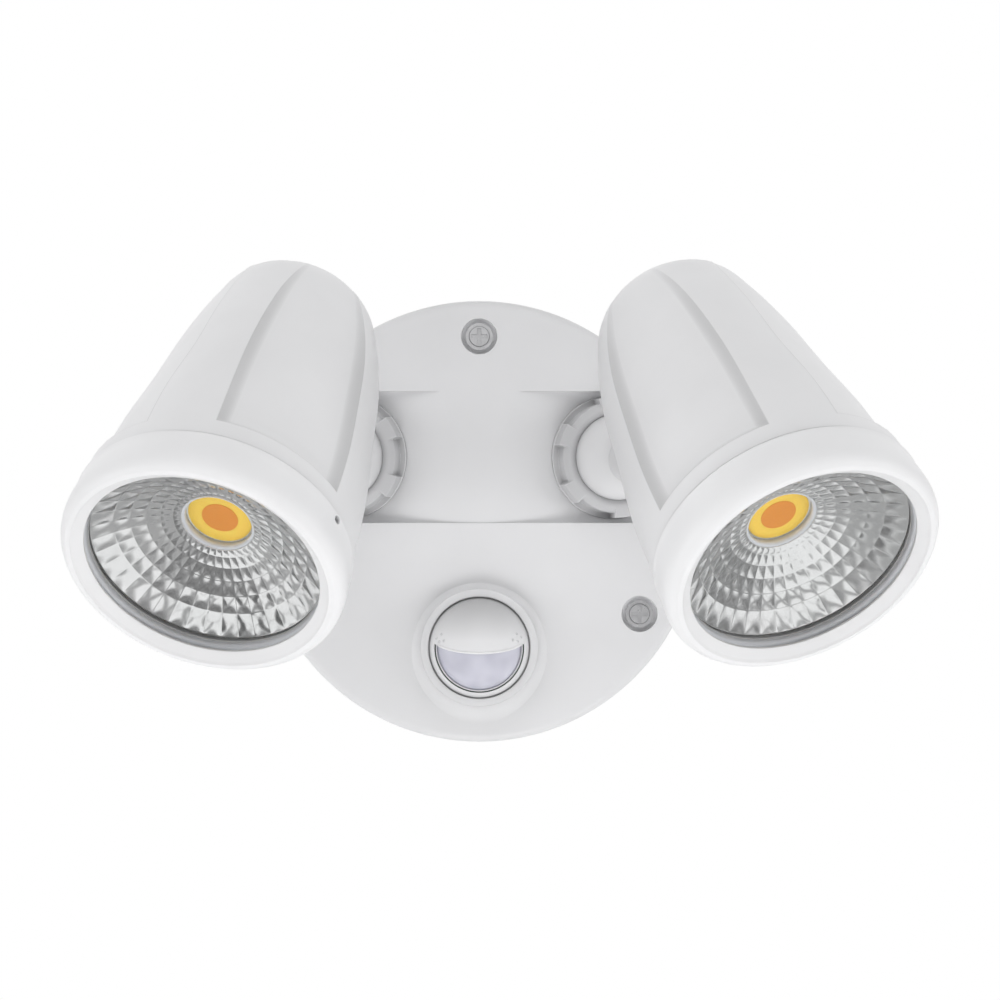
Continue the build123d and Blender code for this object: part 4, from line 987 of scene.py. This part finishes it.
studio = {
    "floor": -1.0,
    "floorRadius": 2.2,
    "floorColour": (0.90, 0.90, 0.90),
    "floorSides": 96,
    "floorWhite": 0.72,             # share of white seen under the object, all of it at the edge
    "floorFrom": 0.6,
    "floorTo": 2.134,
    "light": 0.50,                  # of the room, on the object
    "frontLight": 0.28,             # where the camera stands
    "frontFrom": -0.98,
    "frontTo": -0.5,
    "lamps": (                      # place, size, watts
        ((-0.2, -0.7, 1.5), 1.1, 9.0),
        ((0.0, -0.8, -0.92), 0.9, 8.5),
        ((-1.5, -0.7, -0.1), 0.8, 6.0),
        ((1.5, -0.7, -0.1), 0.8, 7.0),
    ),
    "cards": (                      # head, from and to as its facets see it, height, grey
        ("left", (0.10, -0.70, -0.71), (-0.78, -0.40, -0.50), 0.40, 0.20),
        ("left", (-0.68, -0.62, -0.40), (-0.88, -0.44, -0.26), 0.22, 0.10),
        ("right", (-0.34, -0.60, -0.72), (-0.38, 0.40, -0.84), 0.22, 0.20),
        ("right", (0.82, 0.45, -0.50), (0.86, -0.52, -0.34), 0.34, 0.26),
    ),
    "cardAway": 0.8,
    "cardWide": 1.3,                # width, as a share of the way between those two
    "cardCloud": (90, 2.0),
    "cardUneven": 0.5,              # share of its grey
    "cardSoft": 0.5,                # share of a card's half size where its edge starts to fade
    "softboxGrid": dict(height=-0.9, size=5.2, pitch=1.35, gap=0.42, border=(0.02, 0.34)),
}


# rays that show the white room: the camera's, and those of metal and glass
def seenWhite(tree):
    path = tree.nodes.new("ShaderNodeLightPath").outputs
    seen = calculated(tree, "MAXIMUM", path["Is Camera Ray"], path["Is Glossy Ray"])
    return calculated(tree, "MAXIMUM", seen, path["Is Transmission Ray"])


def makeFloor():
    material, tree, output = emptyMaterial("floor_pale")
    lit = addNode(tree, "ShaderNodeBsdfDiffuse", Color=(*studio["floorColour"], 1))
    glow = addNode(tree, "ShaderNodeEmission", Strength=1.0)
    place = tree.nodes.new("ShaderNodeTexCoord")
    fade = spread(tree, lengthOf(tree, place.outputs["Object"]), studio["floorWhite"], 1.0,
                  studio["floorFrom"], studio["floorTo"])
    mixShaders(tree, calculated(tree, "MULTIPLY", seenWhite(tree), fade),
               lit.outputs["BSDF"], glow.outputs["Emission"], output)
    mesh = bpy.data.meshes.new("floor")
    disc = bmesh.new()
    bmesh.ops.create_circle(disc, cap_ends=True, segments=studio["floorSides"],
                            radius=studio["floorRadius"])
    disc.to_mesh(mesh)
    disc.free()
    mesh.materials.append(material)
    floor = bpy.data.objects.new("floor", mesh)
    floor.location = (0, 0, studio["floor"])
    bpy.context.scene.collection.objects.link(floor)


# the room is dimmer on the camera's side, where the photographer's gear would stand
def makeWorld():
    world = bpy.data.worlds.new("studio")
    bpy.context.scene.world = world
    world.use_nodes = True
    tree = world.node_tree
    tree.nodes.clear()
    output = tree.nodes.new("ShaderNodeOutputWorld")
    toward = tree.nodes.new("ShaderNodeTexCoord")
    parts = tree.nodes.new("ShaderNodeSeparateXYZ")
    tree.links.new(toward.outputs["Generated"], parts.inputs["Vector"])
    level = spread(tree, parts.outputs["Y"], studio["frontLight"], studio["light"],
                   studio["frontFrom"], studio["frontTo"])
    light = addNode(tree, "ShaderNodeBackground", Color=(1, 1, 1, 1))
    tree.links.new(level, light.inputs["Strength"])
    pale = addNode(tree, "ShaderNodeBackground", Color=(1, 1, 1, 1), Strength=1.0)
    mixShaders(tree, seenWhite(tree), light.outputs["Background"], pale.outputs["Background"],
               output)


def facing(place, target=(0, -0.06, 0)):
    return (Vector(target) - Vector(place)).to_track_quat("-Z", "Y").to_euler()


def makeLamps():
    for number, (place, size, watts) in enumerate(studio["lamps"]):
        lamp = bpy.data.lights.new(f"softbox_{number}", "AREA")
        lamp.shape, lamp.size, lamp.energy = "SQUARE", size, watts
        holder = bpy.data.objects.new(f"softbox_{number}", lamp)
        holder.location = place
        holder.rotation_euler = facing(place)
        holder.visible_glossy = holder.visible_transmission = False
        bpy.context.scene.collection.objects.link(holder)


# a flat card round its own middle, for metal and glass alone to see
def cardPiece(name, width, height, material):
    x, y = width / 2, height / 2
    mesh = bpy.data.meshes.new(name)
    mesh.from_pydata([(-x, -y, 0), (x, -y, 0), (x, y, 0), (-x, y, 0)], [], [(0, 1, 2, 3)])
    mesh.materials.append(material)
    card = bpy.data.objects.new(name, mesh)
    for ray in ("camera", "diffuse", "shadow", "volume_scatter"):
        setattr(card, "visible_" + ray, False)
    bpy.context.scene.collection.objects.link(card)
    return card


# cloudy grey that fades out toward the card's edge
def cardGrey(number, width, height, grey):
    material, tree, output = emptyMaterial(f"card_grey_{number}")
    tone = addNode(tree, "ShaderNodeEmission", Strength=1.0)
    uneven = studio["cardUneven"]
    cloud = mottled(tree, *studio["cardCloud"], (grey * (1 - uneven),) * 3,
                    (grey * (1 + uneven),) * 3)
    tree.links.new(cloud, tone.inputs["Color"])
    place = tree.nodes.new("ShaderNodeTexCoord")
    shrink = addNode(tree, "ShaderNodeVectorMath", {"operation": "MULTIPLY"})
    shrink.inputs[1].default_value = (2 / width, 2 / height, 0)
    tree.links.new(place.outputs["Object"], shrink.inputs[0])
    fade = spread(tree, lengthOf(tree, shrink.outputs["Vector"]), 0.0, 1.0,
                  studio["cardSoft"], 1.0)
    clear = tree.nodes.new("ShaderNodeBsdfTransparent")
    mixShaders(tree, fade, tone.outputs["Emission"], clear.outputs["BSDF"], output)
    return material


def makeCards():
    for number, (side, first, last, height, grey) in enumerate(studio["cards"]):
        rim = headFrame(side).translation
        ends = [Vector(end).normalized() * studio["cardAway"] for end in (first, last)]
        middle = (ends[0] + ends[1]) / 2
        across = (ends[1] - ends[0]).normalized()
        normal = (-middle - across * across.dot(-middle)).normalized()
        width = (ends[1] - ends[0]).length * studio["cardWide"]
        card = cardPiece(f"card_{number}", width, height, cardGrey(number, width, height, grey))
        turned = Matrix((across, normal.cross(across), normal)).transposed().to_4x4()
        card.matrix_world = Matrix.Translation(rim + middle) @ turned


# a field of softboxes under the heads: white squares in grey gaps
def makeSoftboxGrid():
    facts = studio["softboxGrid"]
    material, tree, output = emptyMaterial("softbox_gaps")
    tone = addNode(tree, "ShaderNodeEmission", Strength=1.0)
    place = tree.nodes.new("ShaderNodeTexCoord")
    bands = []
    for direction in ("X", "Y"):
        wave = addNode(tree, "ShaderNodeTexWave", {"bands_direction": direction},
                       Scale=math.pi / 10 / facts["pitch"])    # its bands repeat every pitch
        tree.links.new(place.outputs["Object"], wave.inputs["Vector"])
        bands.append(spread(tree, wave.outputs["Fac"], facts["gap"], 1.0, *facts["border"]))
    tree.links.new(calculated(tree, "MINIMUM", *bands), tone.inputs["Color"])
    tree.links.new(tone.outputs["Emission"], output.inputs["Surface"])
    grid = cardPiece("softbox_grid", facts["size"], facts["size"], material)
    grid.location = (0, 0, facts["height"])


view = {"distance": 1.532, "lens": 170.2, "sensor": 36.0, "shiftX": 0.0207, "shiftY": 0.0214}


def makeCamera():
    camera = bpy.data.cameras.new("camera")
    camera.lens = view["lens"]
    camera.sensor_width = view["sensor"]
    camera.shift_x = view["shiftX"]
    camera.shift_y = view["shiftY"]
    holder = bpy.data.objects.new("camera", camera)
    holder.location = (0, -view["distance"], 0)
    holder.rotation_euler = (math.radians(90), 0, 0)
    bpy.context.scene.collection.objects.link(holder)
    bpy.context.scene.camera = holder


makeFloor()
makeWorld()
makeLamps()
makeCards()
makeSoftboxGrid()
makeCamera()
bpy.context.scene.view_settings.view_transform = "Standard"
print("studio set up")
